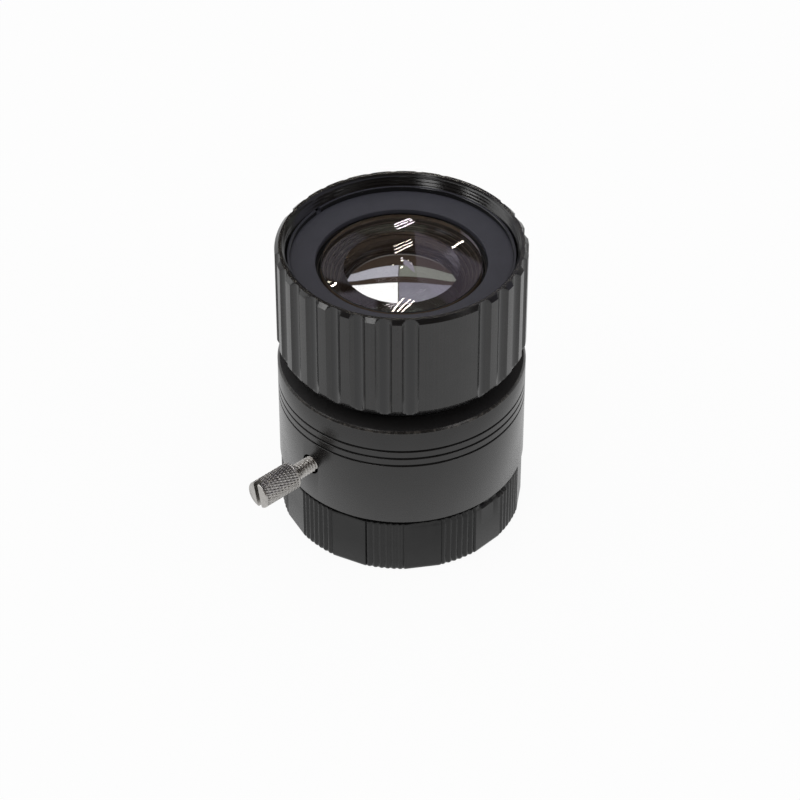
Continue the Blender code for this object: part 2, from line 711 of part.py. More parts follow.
# Rear group, from the stop towards the camera
REAR_GLASS = (
    ("third_element", THIRD_BOTTOM, THIRD_TOP, -THIRD_GLASS_FRONT_HOLLOW, THIRD_GLASS_REAR_HOLLOW),
    ("fourth_element", FOURTH_BOTTOM, FOURTH_TOP, FOURTH_GLASS_FRONT_BULGE, -FOURTH_GLASS_REAR_BULGE),
    ("fifth_element", FIFTH_BOTTOM, FIFTH_TOP, -FIFTH_GLASS_FRONT_HOLLOW, -FIFTH_GLASS_REAR_BULGE),
)
for name, bottom, top, front_bulge, rear_bulge in REAR_GLASS:
    half_section = lens_profile(REAR_SET_R, bottom, top, REAR_CLEAR_R, front_bulge, rear_bulge, 3)
    settle(turned(name, half_section, CLEAR_GLASS, FACET_COUNT_SMALL), 20)
settle(
    turned(
        "rear_spacer",
        ring_profile(REAR_SET_R, REAR_SET_R - REAR_SPACER_WALL, REAR_SPACER_BOTTOM, REAR_SPACER_TOP),
        INNER_BLACK,
        FACET_COUNT_SMALL,
    )
)
settle(
    turned(
        "rear_retainer",
        ring_profile(
            REAR_SET_R,
            REAR_SET_R - REAR_RETAINER_WALL,
            REAR_RETAINER_BOTTOM,
            REAR_RETAINER_BOTTOM + REAR_RETAINER_HEIGHT,
        ),
        INNER_BLACK,
        FACET_COUNT_SMALL,
    )
)

# Focus lock: pad and thumb screw on one radial axis, modelled along Z and laid towards -Y
PAD_START = FOCUS_BARREL_R + FIT
SCREW_TIP = PAD_START + LOCK_PAD_LENGTH + FIT
HEAD_START = BARREL_R + LOCK_STAND_OFF
HEAD_END = HEAD_START + LOCK_HEAD_LENGTH
HEAD_FORM_R = LOCK_HEAD_R + LOCK_KNURL_DEPTH


def lay_on_lock_axis(obj):
    obj.location = (0, 0, LOCK_Z * MM)
    obj.rotation_euler = (math.radians(90), 0, 0)
    return obj


def knurl_outline():
    """A star of pointed teeth with flat crests."""
    points = []
    pitch = 360 / LOCK_KNURL_COUNT
    for tooth in range(LOCK_KNURL_COUNT):
        points.append(around(LOCK_HEAD_R - LOCK_KNURL_DEPTH, (tooth - 0.5) * pitch))
        points.append(around(LOCK_HEAD_R, (tooth - 0.12) * pitch))
        points.append(around(LOCK_HEAD_R, (tooth + 0.12) * pitch))
    return points


pad_mesh = cylinder_mesh("lock_pad", LOCK_SHANK_R, PAD_START, PAD_START + LOCK_PAD_LENGTH, FACET_COUNT_SMALL)
settle(lay_on_lock_axis(add_part("lock_pad", pad_mesh, NYLON)))
head_mesh = outline_mesh("lock_screw", knurl_outline(), HEAD_START, HEAD_END)
lock_screw = lay_on_lock_axis(add_part("lock_screw", head_mesh, STEEL))
head_form = lay_on_lock_axis(
    turned_cutter(
        "form_screw_head",
        [
            (0, HEAD_END),
            (LOCK_HEAD_R - LOCK_HEAD_CHAMFER, HEAD_END),
            (HEAD_FORM_R, HEAD_END - LOCK_HEAD_CHAMFER - LOCK_KNURL_DEPTH),
            (HEAD_FORM_R, HEAD_START + LOCK_HEAD_CHAMFER + LOCK_KNURL_DEPTH),
            (LOCK_HEAD_R - LOCK_HEAD_CHAMFER, HEAD_START),
            (0, HEAD_START),
        ],
        FACET_COUNT_SMALL,
    )
)
shank_mesh = cylinder_mesh(
    "form_screw_shank", LOCK_SHANK_R, SCREW_TIP, HEAD_START + OVERSHOOT, FACET_COUNT_SMALL
)
shank = lay_on_lock_axis(add_cutter("form_screw_shank", shank_mesh))
slot_mesh = bpy.data.meshes.new("cut_screw_slot")
slot_block = bmesh.new()
bmesh.ops.create_cube(slot_block, size=1.0)
slot_size = (LOCK_SLOT_WIDTH * MM, 3 * LOCK_HEAD_R * MM, 2 * LOCK_SLOT_DEPTH * MM)
slot_tilt = Matrix.Rotation(math.radians(LOCK_SLOT_TILT_DEG), 3, "Z")
bmesh.ops.scale(slot_block, verts=slot_block.verts, vec=slot_size)
bmesh.ops.rotate(slot_block, verts=slot_block.verts, matrix=slot_tilt)
bmesh.ops.translate(slot_block, verts=slot_block.verts, vec=(0, 0, HEAD_END * MM))
slot_block.to_mesh(slot_mesh)
slot_block.free()
slot = lay_on_lock_axis(add_cutter("cut_screw_slot", slot_mesh))
boolean(lock_screw, head_form, "INTERSECT")
boolean(lock_screw, shank, "UNION")
boolean(lock_screw, slot)
settle(lock_screw)
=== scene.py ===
import math

import bmesh
import bpy
import numpy as np
from mathutils import Matrix, Vector


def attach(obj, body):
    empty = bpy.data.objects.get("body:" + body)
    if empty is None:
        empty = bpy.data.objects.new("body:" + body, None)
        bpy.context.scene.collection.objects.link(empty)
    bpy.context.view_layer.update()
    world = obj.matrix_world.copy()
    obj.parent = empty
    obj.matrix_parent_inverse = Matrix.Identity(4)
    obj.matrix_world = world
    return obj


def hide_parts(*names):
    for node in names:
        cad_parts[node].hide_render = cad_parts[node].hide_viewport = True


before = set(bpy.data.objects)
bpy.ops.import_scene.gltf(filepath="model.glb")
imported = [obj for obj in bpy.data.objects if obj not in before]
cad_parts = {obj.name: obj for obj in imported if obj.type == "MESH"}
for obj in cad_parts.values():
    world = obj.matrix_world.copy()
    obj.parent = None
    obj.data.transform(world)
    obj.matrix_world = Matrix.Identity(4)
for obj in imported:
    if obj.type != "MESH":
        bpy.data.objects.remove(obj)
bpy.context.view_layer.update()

# The lens cell: one black anodised turned piece, a cup for the front glass on a long tube for the rest.
# Its bores are cut with fine light-trap steps, and two blind holes in its rear end run on the guide pins.
MM = 0.001
FULL_TURN = np.linspace(0, 2 * math.pi, 240, endpoint=False)


class Wire:
    """A socket of a node tree. Arithmetic on it adds Math nodes, and add gives the output of any other node."""

    def __init__(self, tree, socket=None):
        self.tree = tree
        self.socket = socket

    def add(self, kind, settings=None, sockets=None, output=0):
        node = self.tree.nodes.new(kind)
        for name, value in (settings or {}).items():
            setattr(node, name, value)
        for key, value in (sockets or {}).items():
            if isinstance(value, Wire):
                self.tree.links.new(value.socket, node.inputs[key])
            else:
                node.inputs[key].default_value = value
        return Wire(self.tree, node.outputs[output])

    def also(self, output):
        """Another output of the same node."""
        return Wire(self.tree, self.socket.node.outputs[output])

    def maths(self, operation, *values):
        return self.add("ShaderNodeMath", {"operation": operation}, dict(enumerate((self, *values))))

    def band(self, low, high, soft):
        """1 between two values and 0 outside, with soft edges."""
        rise, fall = (
            self.add("ShaderNodeMapRange", {"interpolation_type": "SMOOTHSTEP"}, {0: self, 1: at - soft, 2: at + soft})
            for at in (low, high)
        )
        return rise - fall

    def __add__(self, other):
        return self.maths("ADD", other)

    def __sub__(self, other):
        return self.maths("SUBTRACT", other)

    def __mul__(self, other):
        return self.maths("MULTIPLY", other)

    def __truediv__(self, other):
        return self.maths("DIVIDE", other)

    def __rsub__(self, other):
        return self.maths("MULTIPLY_ADD", -1.0, other)


def finish_of(name, plain):
    """A new material, its Principled shader with plain socket values, and the surface's own coordinates in mm."""
    made = bpy.data.materials.new(name)
    made.use_nodes = True
    shader = made.node_tree.nodes["Principled BSDF"]
    for socket, value in plain.items():
        shader.inputs[socket].default_value = value
    tree = Wire(made.node_tree)
    here = tree.add("ShaderNodeTexCoord", output="Object")
    across = tree.add("ShaderNodeVectorMath", {"operation": "SCALE"}, {0: here, "Scale": 1000.0})
    x = tree.add("ShaderNodeSeparateXYZ", sockets={0: across})
    y, z = x.also(1), x.also(2)
    angle = x.maths("ARCTAN2", 0 - y)
    radius = (x * x + y * y).maths("SQRT")
    return made, shader, {"point": across, "z": z, "angle": angle, "radius": radius}


def feed(shader, socket, wire):
    wire.tree.links.new(wire.socket, shader.inputs[socket])


def noise(point, scale, detail=2.0, rough=0.5, stretch=(1, 1, 1)):
    """Noise over a piece, with its scale per mm and its grain stretched along an axis."""
    turned = point.add("ShaderNodeVectorMath", {"operation": "MULTIPLY"}, {0: point, 1: stretch})
    return point.add(
        "ShaderNodeTexNoise", sockets={"Vector": turned, "Scale": scale, "Detail": detail, "Roughness": rough}
    )


def rings(value, scale, detail=3.0):
    """Noise that changes only with one value: the fine lines that a lathe tool or a mould leaves."""
    return value.add(
        "ShaderNodeTexNoise", {"noise_dimensions": "1D"}, {"W": value, "Scale": scale, "Detail": detail}
    )


def tone(factor, low, high):
    """A colour between two others."""
    return factor.add(
        "ShaderNodeMix", {"data_type": "RGBA", "clamp_factor": True}, {0: factor, 6: (*low, 1), 7: (*high, 1)}, 2
    )


def mixed(factor, base, over):
    """A colour laid over a coloured wire."""
    return factor.add(
        "ShaderNodeMix", {"data_type": "RGBA", "clamp_factor": True}, {0: factor, 6: base, 7: (*over, 1)}, 2
    )


def relief(shader, height, distance):
    """Bumps of a height field; distance is its full height in mm."""
    feed(shader, "Normal", height.add("ShaderNodeBump", sockets={"Height": height, "Distance": distance * MM}))


def revolve(name, profile, look, angles=FULL_TURN, shape=None, sharp=25):
    """Turns a half section, in mm, about the lens axis: down the outside, then back up the bore or to the axis.
    shape may change the radii of its rows by height and angle, as a thread does."""
    section = np.array(profile, float)
    count = len(angles)
    r = np.repeat(section[:, :1], count, axis=1)
    z = np.repeat(section[:, 1:], count, axis=1)
    if shape:
        r = shape(r, z, np.asarray(angles)[None, :])
    points, rows = [], []
    for row in range(len(section)):
        if section[row, 0] < 1e-6:
            rows.append(np.full(count, len(points)))
            points.append((0.0, 0.0, section[row, 1]))
        else:
            rows.append(np.arange(len(points), len(points) + count))
            points.extend(zip(r[row] * np.sin(angles), -r[row] * np.cos(angles), z[row]))
    following = np.roll(section, -1, axis=0)
    clockwise = (section[:, 0] * following[:, 1] - following[:, 0] * section[:, 1]).sum() < 0
    open_ends = section[0, 0] < 1e-6 and section[-1, 0] < 1e-6
    faces = []
    for row in range(len(rows) - (1 if open_ends else 0)):
        above, below = rows[row], rows[(row + 1) % len(rows)]
        for a, b, c, d in zip(above, below, np.roll(below, -1), np.roll(above, -1)):
            face = [a, b, c, d] if clockwise else [d, c, b, a]
            faces.append(list(dict.fromkeys(int(corner) for corner in face)))
    mesh = bpy.data.meshes.new(name)
    mesh.from_pydata([(px * MM, py * MM, pz * MM) for px, py, pz in points], [], faces)
    piece = bpy.data.objects.new(name, mesh)
    bpy.context.scene.collection.objects.link(piece)
    mesh.materials.append(look)
    return shaded(piece, sharp)


def shaded(piece, sharp=25):
    piece.data.shade_smooth()
    piece.data.set_sharp_from_angle(angle=math.radians(sharp))
    return piece


def made_plain(piece):
    """Turns what the modifiers make into the piece's own mesh, and takes the modifiers off."""
    bpy.context.view_layer.update()
    held = piece.evaluated_get(bpy.context.evaluated_depsgraph_get())
    mesh = bpy.data.meshes.new_from_object(held)
    piece.modifiers.clear()
    piece.data = mesh
    mesh.name = piece.name
    return piece


def cut_out(piece, tool, placing):
    """Cuts a tool, placed by a matrix in mm, out of a piece."""
    tool.transform(Matrix.Scale(MM, 4) @ placing)
    mesh = bpy.data.meshes.new("tool")
    tool.to_mesh(mesh)
    tool.free()
    cutter = bpy.data.objects.new("tool", mesh)
    bpy.context.scene.collection.objects.link(cutter)
    cut = piece.modifiers.new("Cut", "BOOLEAN")
    cut.operation = "DIFFERENCE"
    cut.solver = "EXACT"
    cut.object = cutter
    made_plain(piece)
    bpy.data.objects.remove(cutter)


def drill(radius, length, sides=48):
    """A round tool that lies along Z, in mm."""
    tool = bmesh.new()
    bmesh.ops.create_cone(tool, cap_ends=True, segments=sides, radius1=radius, radius2=radius, depth=length)
    return tool


def slab(across, deep, tall):
    """A square-edged tool round the origin, in mm."""
    tool = bmesh.new()
    bmesh.ops.create_cube(tool, size=1.0)
    bmesh.ops.scale(tool, verts=tool.verts, vec=(across, deep, tall))
    return tool


def light_trap(start, end, count):
    """Rounded steps up and out between two points of a half section, which keep stray light off the glass."""
    out, up = (end[0] - start[0]) / count, (end[1] - start[1]) / count
    points = []
    for step in range(count):
        r, z = start[0] + out * step, start[1] + up * step
        points += [(r, z), (r, z + 0.75 * up), (r + 0.06 * out, z + 0.93 * up), (r + 0.2 * out, z + up)]
        points += [(r + 0.7 * out, z + 0.96 * up)]
    return points


def stands_for(piece, node, body):
    """The piece moves with its body in place of a node of the model."""
    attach(piece, body)
    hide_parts(node)
    return piece


INNER_BLACK, shader, at = finish_of("dull_black_anodised", {"Metallic": 0.0, "IOR": 1.45})
lines = rings(at["z"] + at["radius"] * 0.7, 9.0)
grain = noise(at["point"], 6.0, 3)
black = tone(lines * 0.6 + grain * 0.4, (0.004, 0.004, 0.004), (0.016, 0.016, 0.017))
# Under the front glass, lighter stripes are painted on the light-trap steps: painted highlights on the step edges,
# standing in for the light they catch.
round_glass = at["z"].band(31.7, 35.2, 0.1) * at["radius"].maths("LESS_THAN", 11.0)
painted_step_highlights = ((at["z"] * 0.6 + at["radius"]) * 1.5).maths("FRACT").band(0.1, 0.38, 0.08) * round_glass
feed(shader, "Base Color", mixed(painted_step_highlights * (lines * 0.7 + 0.5), black, (0.10, 0.09, 0.08)))
feed(shader, "Roughness", grain * 0.25 + 0.48)
relief(shader, lines * 0.7 + grain * 0.3, 0.012)

CUP_R = 12.6
CUP_RIM = 34.9
CUP_SEAT = 33.9
CUP_FOOT = 28.1
CUP_BORE_R = 11.0
CUP_EDGE = 0.15
TRAP_FOOT = (7.0, 32.0)
TRAP_TOP_R = 9.2
TUBE_R = 10.6
TUBE_FOOT = 10.2
TUBE_EDGE = 0.2
REAR_BORE_R = 5.8
STOP_SEAT_R = 4.0
STOP_SEAT = (20.2, 21.0)
FRONT_BORE_R = 7.8
FRONT_BORE_TOP = 28.6
GUIDE_R = 9.0
GUIDE_HOLE_R = 0.9
GUIDE_HOLE_MIDDLE = 11.6
GUIDE_HOLE_CUT = 10
lens_cell = revolve(
    "lens_cell_turned",
    [
        (CUP_R - CUP_EDGE, CUP_RIM),
        (CUP_R, CUP_RIM - CUP_EDGE),
        (CUP_R, CUP_FOOT + CUP_EDGE),
        (CUP_R - CUP_EDGE, CUP_FOOT),
        (TUBE_R, CUP_FOOT),
        (TUBE_R, TUBE_FOOT + TUBE_EDGE),
        (TUBE_R - TUBE_EDGE, TUBE_FOOT),
        (REAR_BORE_R + CUP_EDGE, TUBE_FOOT),
        (REAR_BORE_R, TUBE_FOOT + CUP_EDGE),
        (REAR_BORE_R, STOP_SEAT[0]),
        (STOP_SEAT_R, STOP_SEAT[0]),
        (STOP_SEAT_R, STOP_SEAT[1]),
        (FRONT_BORE_R, STOP_SEAT[1]),
        (FRONT_BORE_R, FRONT_BORE_TOP),
        (TRAP_FOOT[0], FRONT_BORE_TOP + 0.6),
        (TRAP_FOOT[0], TRAP_FOOT[1] - 0.4),
        *light_trap(TRAP_FOOT, (TRAP_TOP_R, CUP_SEAT), 5),
        (TRAP_TOP_R + 0.1, CUP_SEAT),
        (CUP_BORE_R, CUP_SEAT),
        (CUP_BORE_R, CUP_RIM - 0.12),
        (CUP_BORE_R + 0.12, CUP_RIM),
    ],
    INNER_BLACK,
)
for side in (1, -1):
    cut_out(
        lens_cell,
        drill(GUIDE_HOLE_R, GUIDE_HOLE_CUT),
        Matrix.Translation((side * GUIDE_R, 0, GUIDE_HOLE_MIDDLE)),
    )
shaded(lens_cell)
stands_for(lens_cell, "lens_cell", "focus_cell")

# The rear group: three polished elements, a spacer and a slotted retaining ring in the rear bore.
# Each glass has flat ground shoulders outside its polished faces, and rests on rings of the same black.
CLEAR_GLASS, shader, at = finish_of(
    "clear_polished_glass",
    {"Transmission Weight": 1.0, "IOR": 1.6, "Specular Tint": (0.7, 0.85, 0.8, 1), "Specular IOR Level": 0.3},
)
bloom = noise(at["point"], 0.25, 1)
feed(shader, "Base Color", tone(bloom, (0.78, 0.84, 0.82), (0.86, 0.88, 0.84)))
feed(shader, "Roughness", bloom * 0.01 + 0.004)


def dome_points(reach, level, bulge, count=18):
    """A polished face from the axis out to reach, bulging up from its rim, or hollow below zero."""
    radius = (reach * reach + bulge * bulge) / (2 * bulge)
    out = [reach * i / count for i in range(count + 1)]
    return [(r, level + math.copysign(math.sqrt(radius * radius - r * r), radius) - radius + bulge) for r in out]


def glass_section(edge_r, bottom, top, clear_r, front_bulge, rear_bulge):
    """Half section of an element with small ground bevels at its edge."""
    return [
        *dome_points(clear_r, top, front_bulge),
        (edge_r - 0.12, top),
        (edge_r, top - 0.12),
        (edge_r, bottom + 0.12),
        (edge_r - 0.12, bottom),
        *reversed(dome_points(clear_r, bottom, rear_bulge)),
    ]


REAR_GLASS_R = 5.5
REAR_CLEAR_R = 4.3
REAR_GLASSES = {
    "third_element": (17.3, 19.9, -0.7, 1.1),
    "fourth_element": (13.6, 15.3, 0.8, -0.5),
    "fifth_element": (12.1, 13.3, -0.6, -0.65),
}
for node, (bottom, top, front_bulge, rear_bulge) in REAR_GLASSES.items():
    section = glass_section(REAR_GLASS_R, bottom, top, REAR_CLEAR_R, front_bulge, rear_bulge)
    glass = revolve(f"{node}_polished", section, CLEAR_GLASS, FULL_TURN[::2], sharp=35)
    stands_for(glass, node, "focus_cell")


def ring_section(outer, inner, bottom, top, edge=0.1):
    """Half section of a plain ring with broken edges."""
    return [
        (outer - edge, top),
        (outer, top - edge),
        (outer, bottom + edge),
        (outer - edge, bottom),
        (inner + edge, bottom),
        (inner, bottom + edge),
        (inner, top - edge),
        (inner + edge, top),
    ]


def saw(turns):
    """A triangle wave from 0 to 1 and back, once in each turn."""
    return 2 * np.abs(np.mod(turns, 1.0) - 0.5)


def thread(crest_r, depth, pitch, low, high, starts=1):
    """A helical thread for revolve: rows of the section near its crest radius and between two heights are cut."""

    def cut(r, z, angle):
        ramp = np.clip(np.minimum(z - low, high - z) / (0.35 * pitch), 0, 1)
        wave = saw(z / pitch - starts * angle / (2 * math.pi))
        here = (np.abs(r - crest_r) < 1e-6) & (z >= low) & (z <= high)
        return np.where(here, r + depth * ramp * wave, r)

    return cut


def rows_between(r, low, high, step):
    """Close rows up a wall, for a thread to be cut in."""
    count = max(2, int(round((high - low) / step)))
    return [(r, low + (high - low) * i / count) for i in range(count + 1)]


REAR_RINGS = {
    "rear_spacer": (REAR_GLASS_R, 4.6, 15.6, 17.0),
    "rear_retainer": (REAR_GLASS_R, 4.4, 10.4, 11.8),
}
for node, size in REAR_RINGS.items():
    part = revolve(f"{node}_turned", ring_section(*size), INNER_BLACK, FULL_TURN[::2])
    stands_for(part, node, "focus_cell")

# The front stack: the fixed stop, a spacer, the second element and its retaining ring, all down the front bore.
# The stop is a thin blackened disc with a bevelled hole, so its edge gives no glare.
FRONT_SET_R = 7.5
FRONT_RINGS = {
    "front_spacer": (FRONT_SET_R, 6.5, 22.0, 24.7),
    "second_retainer": (FRONT_SET_R, 6.5, 26.9, 28.4),
}
SECOND_GLASS = (25.0, 26.6)
SECOND_CLEAR_R = 6.2
SECOND_BULGES = (1.4, -1.2)
STOP_FOOT = 21.3
STOP_TOP = 21.7
STOP_HOLE_R = 2.0
STOP_BEVEL = (0.4, 0.16)
stop_section = [
    (FRONT_SET_R, STOP_TOP),
    (FRONT_SET_R, STOP_FOOT),
    (STOP_HOLE_R + STOP_BEVEL[0], STOP_FOOT),
    (STOP_HOLE_R, STOP_FOOT + STOP_BEVEL[1]),
    (STOP_HOLE_R, STOP_TOP - STOP_BEVEL[1]),
    (STOP_HOLE_R + STOP_BEVEL[0], STOP_TOP),
]
stands_for(revolve("stop_disc", stop_section, INNER_BLACK), "aperture_stop", "focus_cell")
for node, size in FRONT_RINGS.items():
    part = revolve(f"{node}_turned", ring_section(*size), INNER_BLACK)
    stands_for(part, node, "focus_cell")
section = glass_section(FRONT_SET_R, *SECOND_GLASS, SECOND_CLEAR_R, *SECOND_BULGES)
glass = revolve("second_element_polished", section, CLEAR_GLASS, sharp=35)
stands_for(glass, "second_element", "focus_cell")

# The front element: a weakly domed disc of multi-coated glass with a bowl polished in its rear face.
# Its blackened edge sits in a black retaining ring, and a flat polished shoulder rests on the light-trap steps.
COATED_GLASS, shader, at = finish_of(
    "multicoated_front_glass",
    {
        "Transmission Weight": 1.0,
        "IOR": 1.52,
        "Roughness": 0.0,
        "Specular Tint": (1.0, 0.86, 0.95, 1),
        "Specular IOR Level": 0.22,
    },
)
feed(shader, "Base Color", tone(noise(at["point"], 0.12), (0.93, 0.90, 0.86), (0.98, 0.96, 0.92)))
BOWL_COATING, shader, at = finish_of(
    "violet_bowl_coating",
    {"Transmission Weight": 1.0, "IOR": 1.52, "Metallic": 0.62, "Roughness": 0.0},
)
feed(shader, "Base Color", tone(noise(at["point"], 0.15), (0.82, 0.82, 0.88), (0.92, 0.93, 0.96)))
SHOULDER, shader, at = finish_of(
    "polished_shoulder",
    {"Transmission Weight": 1.0, "IOR": 1.52, "Roughness": 0.0, "Specular IOR Level": 0.0},
)
feed(shader, "Base Color", tone(noise(at["point"], 0.12), (0.93, 0.90, 0.86), (0.98, 0.96, 0.92)))
EDGE_LACQUER_AND_REFLECTION, shader, at = finish_of("edge_lacquer_and_painted_reflection", {"Roughness": 0.5})
# On one side of the brown edge lacquer a lilac-grey band is painted: a painted reflection of the window, seen through
# the glass as a crescent.
painted_crescent_reflection = at["angle"].band(math.radians(128), math.radians(178), math.radians(7))
brown = tone(noise(at["point"], 0.3), (0.10, 0.07, 0.045), (0.20, 0.15, 0.11))
feed(shader, "Base Color", mixed(painted_crescent_reflection, brown, (0.48, 0.45, 0.54)))

FRONT_R = 9.6
FRONT_APEX = 36.3
FRONT_CURVE = 100.0
FRONT_SHOULDER = 34.2
BOWL_R = 6.8
BOWL_HOLLOW = 1.3
FRONT_EDGE = 0.1
front_fall = FRONT_CURVE - math.sqrt(FRONT_CURVE**2 - (FRONT_R - FRONT_EDGE) ** 2)
front_rim = FRONT_APEX - front_fall
front_section = [
    *dome_points(FRONT_R - FRONT_EDGE, front_rim, front_fall, 30),
    (FRONT_R, front_rim - FRONT_EDGE),
    (FRONT_R, FRONT_SHOULDER + FRONT_EDGE),
    (FRONT_R - FRONT_EDGE, FRONT_SHOULDER),
    *reversed(dome_points(BOWL_R, FRONT_SHOULDER, BOWL_HOLLOW, 36)),
]
front_element = revolve("front_element_polished", front_section, COATED_GLASS, sharp=20)
for look in (BOWL_COATING, EDGE_LACQUER_AND_REFLECTION, INNER_BLACK, SHOULDER):
    front_element.data.materials.append(look)
for face in front_element.data.polygons:
    middle = face.center / MM
    reach = math.hypot(middle.x, middle.y)
    at_edge = reach > FRONT_R - 0.09
    if at_edge and abs(face.normal.z) > 0.3:
        face.material_index = 3
    elif at_edge:
        face.material_index = 2
    elif reach < BOWL_R and middle.z < front_rim and abs(face.normal.z) > 0.1:
        face.material_index = 1
    elif middle.z < front_rim - 0.5:
        face.material_index = 4
stands_for(front_element, "front_element", "focus_cell")

RETAINER_R = 10.7
RETAINER_BORE_R = 9.8
RETAINER_FOOT = 34.2
RETAINER_TOP = 35.0
riser = (RETAINER_TOP - RETAINER_FOOT) / 3
retainer_steps = []
for step in range(3):
    reach, level = RETAINER_BORE_R + 0.1 * step, RETAINER_FOOT + riser * step
    retainer_steps += [(reach, level), (reach, level + 0.8 * riser), (reach + 0.03, level + 0.95 * riser)]
front_retainer = revolve(
    "front_retainer_stepped",
    [
        (RETAINER_R - 0.1, RETAINER_TOP),
        (RETAINER_R, RETAINER_TOP - 0.1),
        (RETAINER_R, RETAINER_FOOT),
        *retainer_steps,
        (RETAINER_BORE_R + 0.3, RETAINER_TOP),
    ],
    INNER_BLACK,
)
stands_for(front_retainer, "front_retainer", "focus_cell")

# The focusing barrel, seen as the dark neck under the grip, turns in the main barrel on a six-start thread.
# It is dull black anodised aluminium; a plain brass nut at its foot keeps the lens cell in it.
BRASS, shader, at = finish_of("turned_brass", {"Metallic": 1.0})
lines = rings(at["z"] + at["radius"], 14.0)
feed(shader, "Base Color", tone(lines, (0.50, 0.36, 0.15), (0.62, 0.47, 0.22)))
feed(shader, "Roughness", lines * 0.2 + 0.25)
relief(shader, lines, 0.01)

NECK_R = 11.7
NECK_BORE = 10.9
NECK_FOOT = 11.8
NUT = (10.5, 11.5)
FLANGE_R = 12.9
FLANGE = (26.3, 27.8)
NECK_THREAD = (NECK_FOOT + 0.2, 25.6)
cell_nut = revolve("cell_nut_turned", ring_section(NECK_R, NECK_BORE, *NUT, edge=0.12), BRASS)
stands_for(cell_nut, "cell_nut", "focus_cell")
focus_barrel = revolve(
    "focus_barrel_threaded",
    [
        (FLANGE_R - 0.1, FLANGE[1]),
        (FLANGE_R, FLANGE[1] - 0.1),
        (FLANGE_R, FLANGE[0]),
        *reversed(rows_between(NECK_R, NECK_THREAD[0], FLANGE[0], 0.0625)),
        (NECK_R - 0.2, NECK_FOOT),
        (NECK_BORE, NECK_FOOT),
        (NECK_BORE, FLANGE[1]),
    ],
    INNER_BLACK,
    shape=thread(NECK_R, -0.14, 0.5, *NECK_THREAD, starts=6),
)
stands_for(focus_barrel, "focus_barrel", "focus_grip")

# The focusing ring: black anodised aluminium with a thread for filters in its mouth and scallops for the fingers.
# The scallops are milled up the whole ring in three groups of eight, and two places between groups stay plain.
GRIP, shader, at = finish_of("black_anodised_grip", {"IOR": 1.5, "Metallic": 0.0})
streaks = rings(at["angle"] * 15.0, 3.2, 4.0)
fine = rings(at["angle"] * 15.0, 11.0, 2.0)
lines = rings(at["z"], 16.0)
grain = noise(at["point"], 11.0, 3, 0.6)
mottle = noise(at["point"], 0.5, 2)
up_ring = at["z"].band(25.2, 38.2, 0.15)
feed(shader, "Base Color", tone(streaks * 0.5 + mottle * 0.5, (0.006, 0.006, 0.006), (0.024, 0.023, 0.023)))
feed(shader, "Roughness", streaks * 0.12 + grain * 0.1 + 0.17)
relief(shader, (streaks * 0.5 + fine * 0.35) * up_ring + lines * 0.25 + grain * 0.5, 0.007)
MOUTH_BLACK, shader, at = finish_of("black_ring_mouth", {"IOR": 1.5, "Specular IOR Level": 0.5, "Metallic": 0.0})
lines = rings(at["radius"], 8.0)
grain = noise(at["point"], 8.0, 3)
feed(shader, "Base Color", tone(lines * 0.5 + grain * 0.5, (0.003, 0.003, 0.003), (0.010, 0.010, 0.011)))
feed(shader, "Roughness", grain * 0.12 + 0.1)
relief(shader, grain, 0.005)

RING_R = 15.0
RING_TOP = 38.66
RING_FOOT = 24.2
RING_CHAMFER = 0.45
RING_BACK_R = 12.0
RING_BORE_R = 13.2
RING_SHELF = 26.0
FLUTE_R = 1.22
FLUTE_CENTRE = 15.67
FLUTE_TURN = 2.9
FLUTE_STEP = 12
FILTER_R = 14.0
LEDGE = 35.1


def carved(blank, inputs, rule):
    """Reshapes a turned blank. rule gives each point's new radius from named inputs."""
    group = bpy.data.node_groups.new(f"{blank.name}_form", "GeometryNodeTree")
    group.interface.new_socket(name="Geometry", in_out="OUTPUT", socket_type="NodeSocketGeometry")
    group.interface.new_socket(name="Blank", in_out="INPUT", socket_type="NodeSocketGeometry")
    sockets = {
        name: group.interface.new_socket(name=name, in_out="INPUT", socket_type="NodeSocketFloat") for name in inputs
    }
    tree = Wire(group)
    blank_in = tree.add("NodeGroupInput", output="Blank")
    values = {name: blank_in.also(name) for name in inputs}
    place = tree.add("GeometryNodeInputPosition")
    x = tree.add("ShaderNodeSeparateXYZ", sockets={0: place})
    y, z = x.also(1), x.also(2)
    radius = (x * x + y * y).maths("SQRT")
    new_radius = rule(radius / MM, z / MM, x.maths("ARCTAN2", 0 - y), values) * MM
    share = new_radius / radius.maths("MAXIMUM", 1e-9)
    moved = tree.add("ShaderNodeCombineXYZ", sockets={0: x * share, 1: y * share, 2: z})
    shaped = tree.add("GeometryNodeSetPosition", sockets={"Geometry": blank_in, "Position": moved})
    whole = tree.add("GeometryNodeRealizeInstances", sockets={0: shaped})
    dressed = tree.add("GeometryNodeSetMaterial", sockets={"Geometry": whole, "Material": blank.data.materials[0]})
    group.links.new(dressed.socket, group.nodes.new("NodeGroupOutput").inputs["Geometry"])
    form = blank.modifiers.new("Form", "NODES")
    form.node_group = group
    for name, socket in sockets.items():
        form[socket.identifier] = float(inputs[name])
    return shaded(made_plain(blank))


def scallops(radius, z, angle, size):
    """The ring's radius after milling: a round cutter at each place, but for two places in every ten."""
    places = (angle - size["Turn"]) / size["Step"]
    place = places.maths("ROUND")
    off = (places - place) * size["Step"]
    aside = size["Centre"] * off.maths("SINE")
    depth = (size["Cutter"] * size["Cutter"] - aside * aside).maths("MAXIMUM", 0.0)
    milled = size["Centre"] * off.maths("COSINE") - depth.maths("SQRT")
    in_ten = (place + 300.0).maths("MODULO", 10.0)
    plain = in_ten.maths("COMPARE", 5.0, 0.1) + in_ten.maths("COMPARE", 6.0, 0.1)
    missed = (aside.maths("ABSOLUTE").maths("GREATER_THAN", size["Cutter"]) + plain).maths("MINIMUM", 1.0)
    return radius.maths("MINIMUM", milled + missed * 100.0)


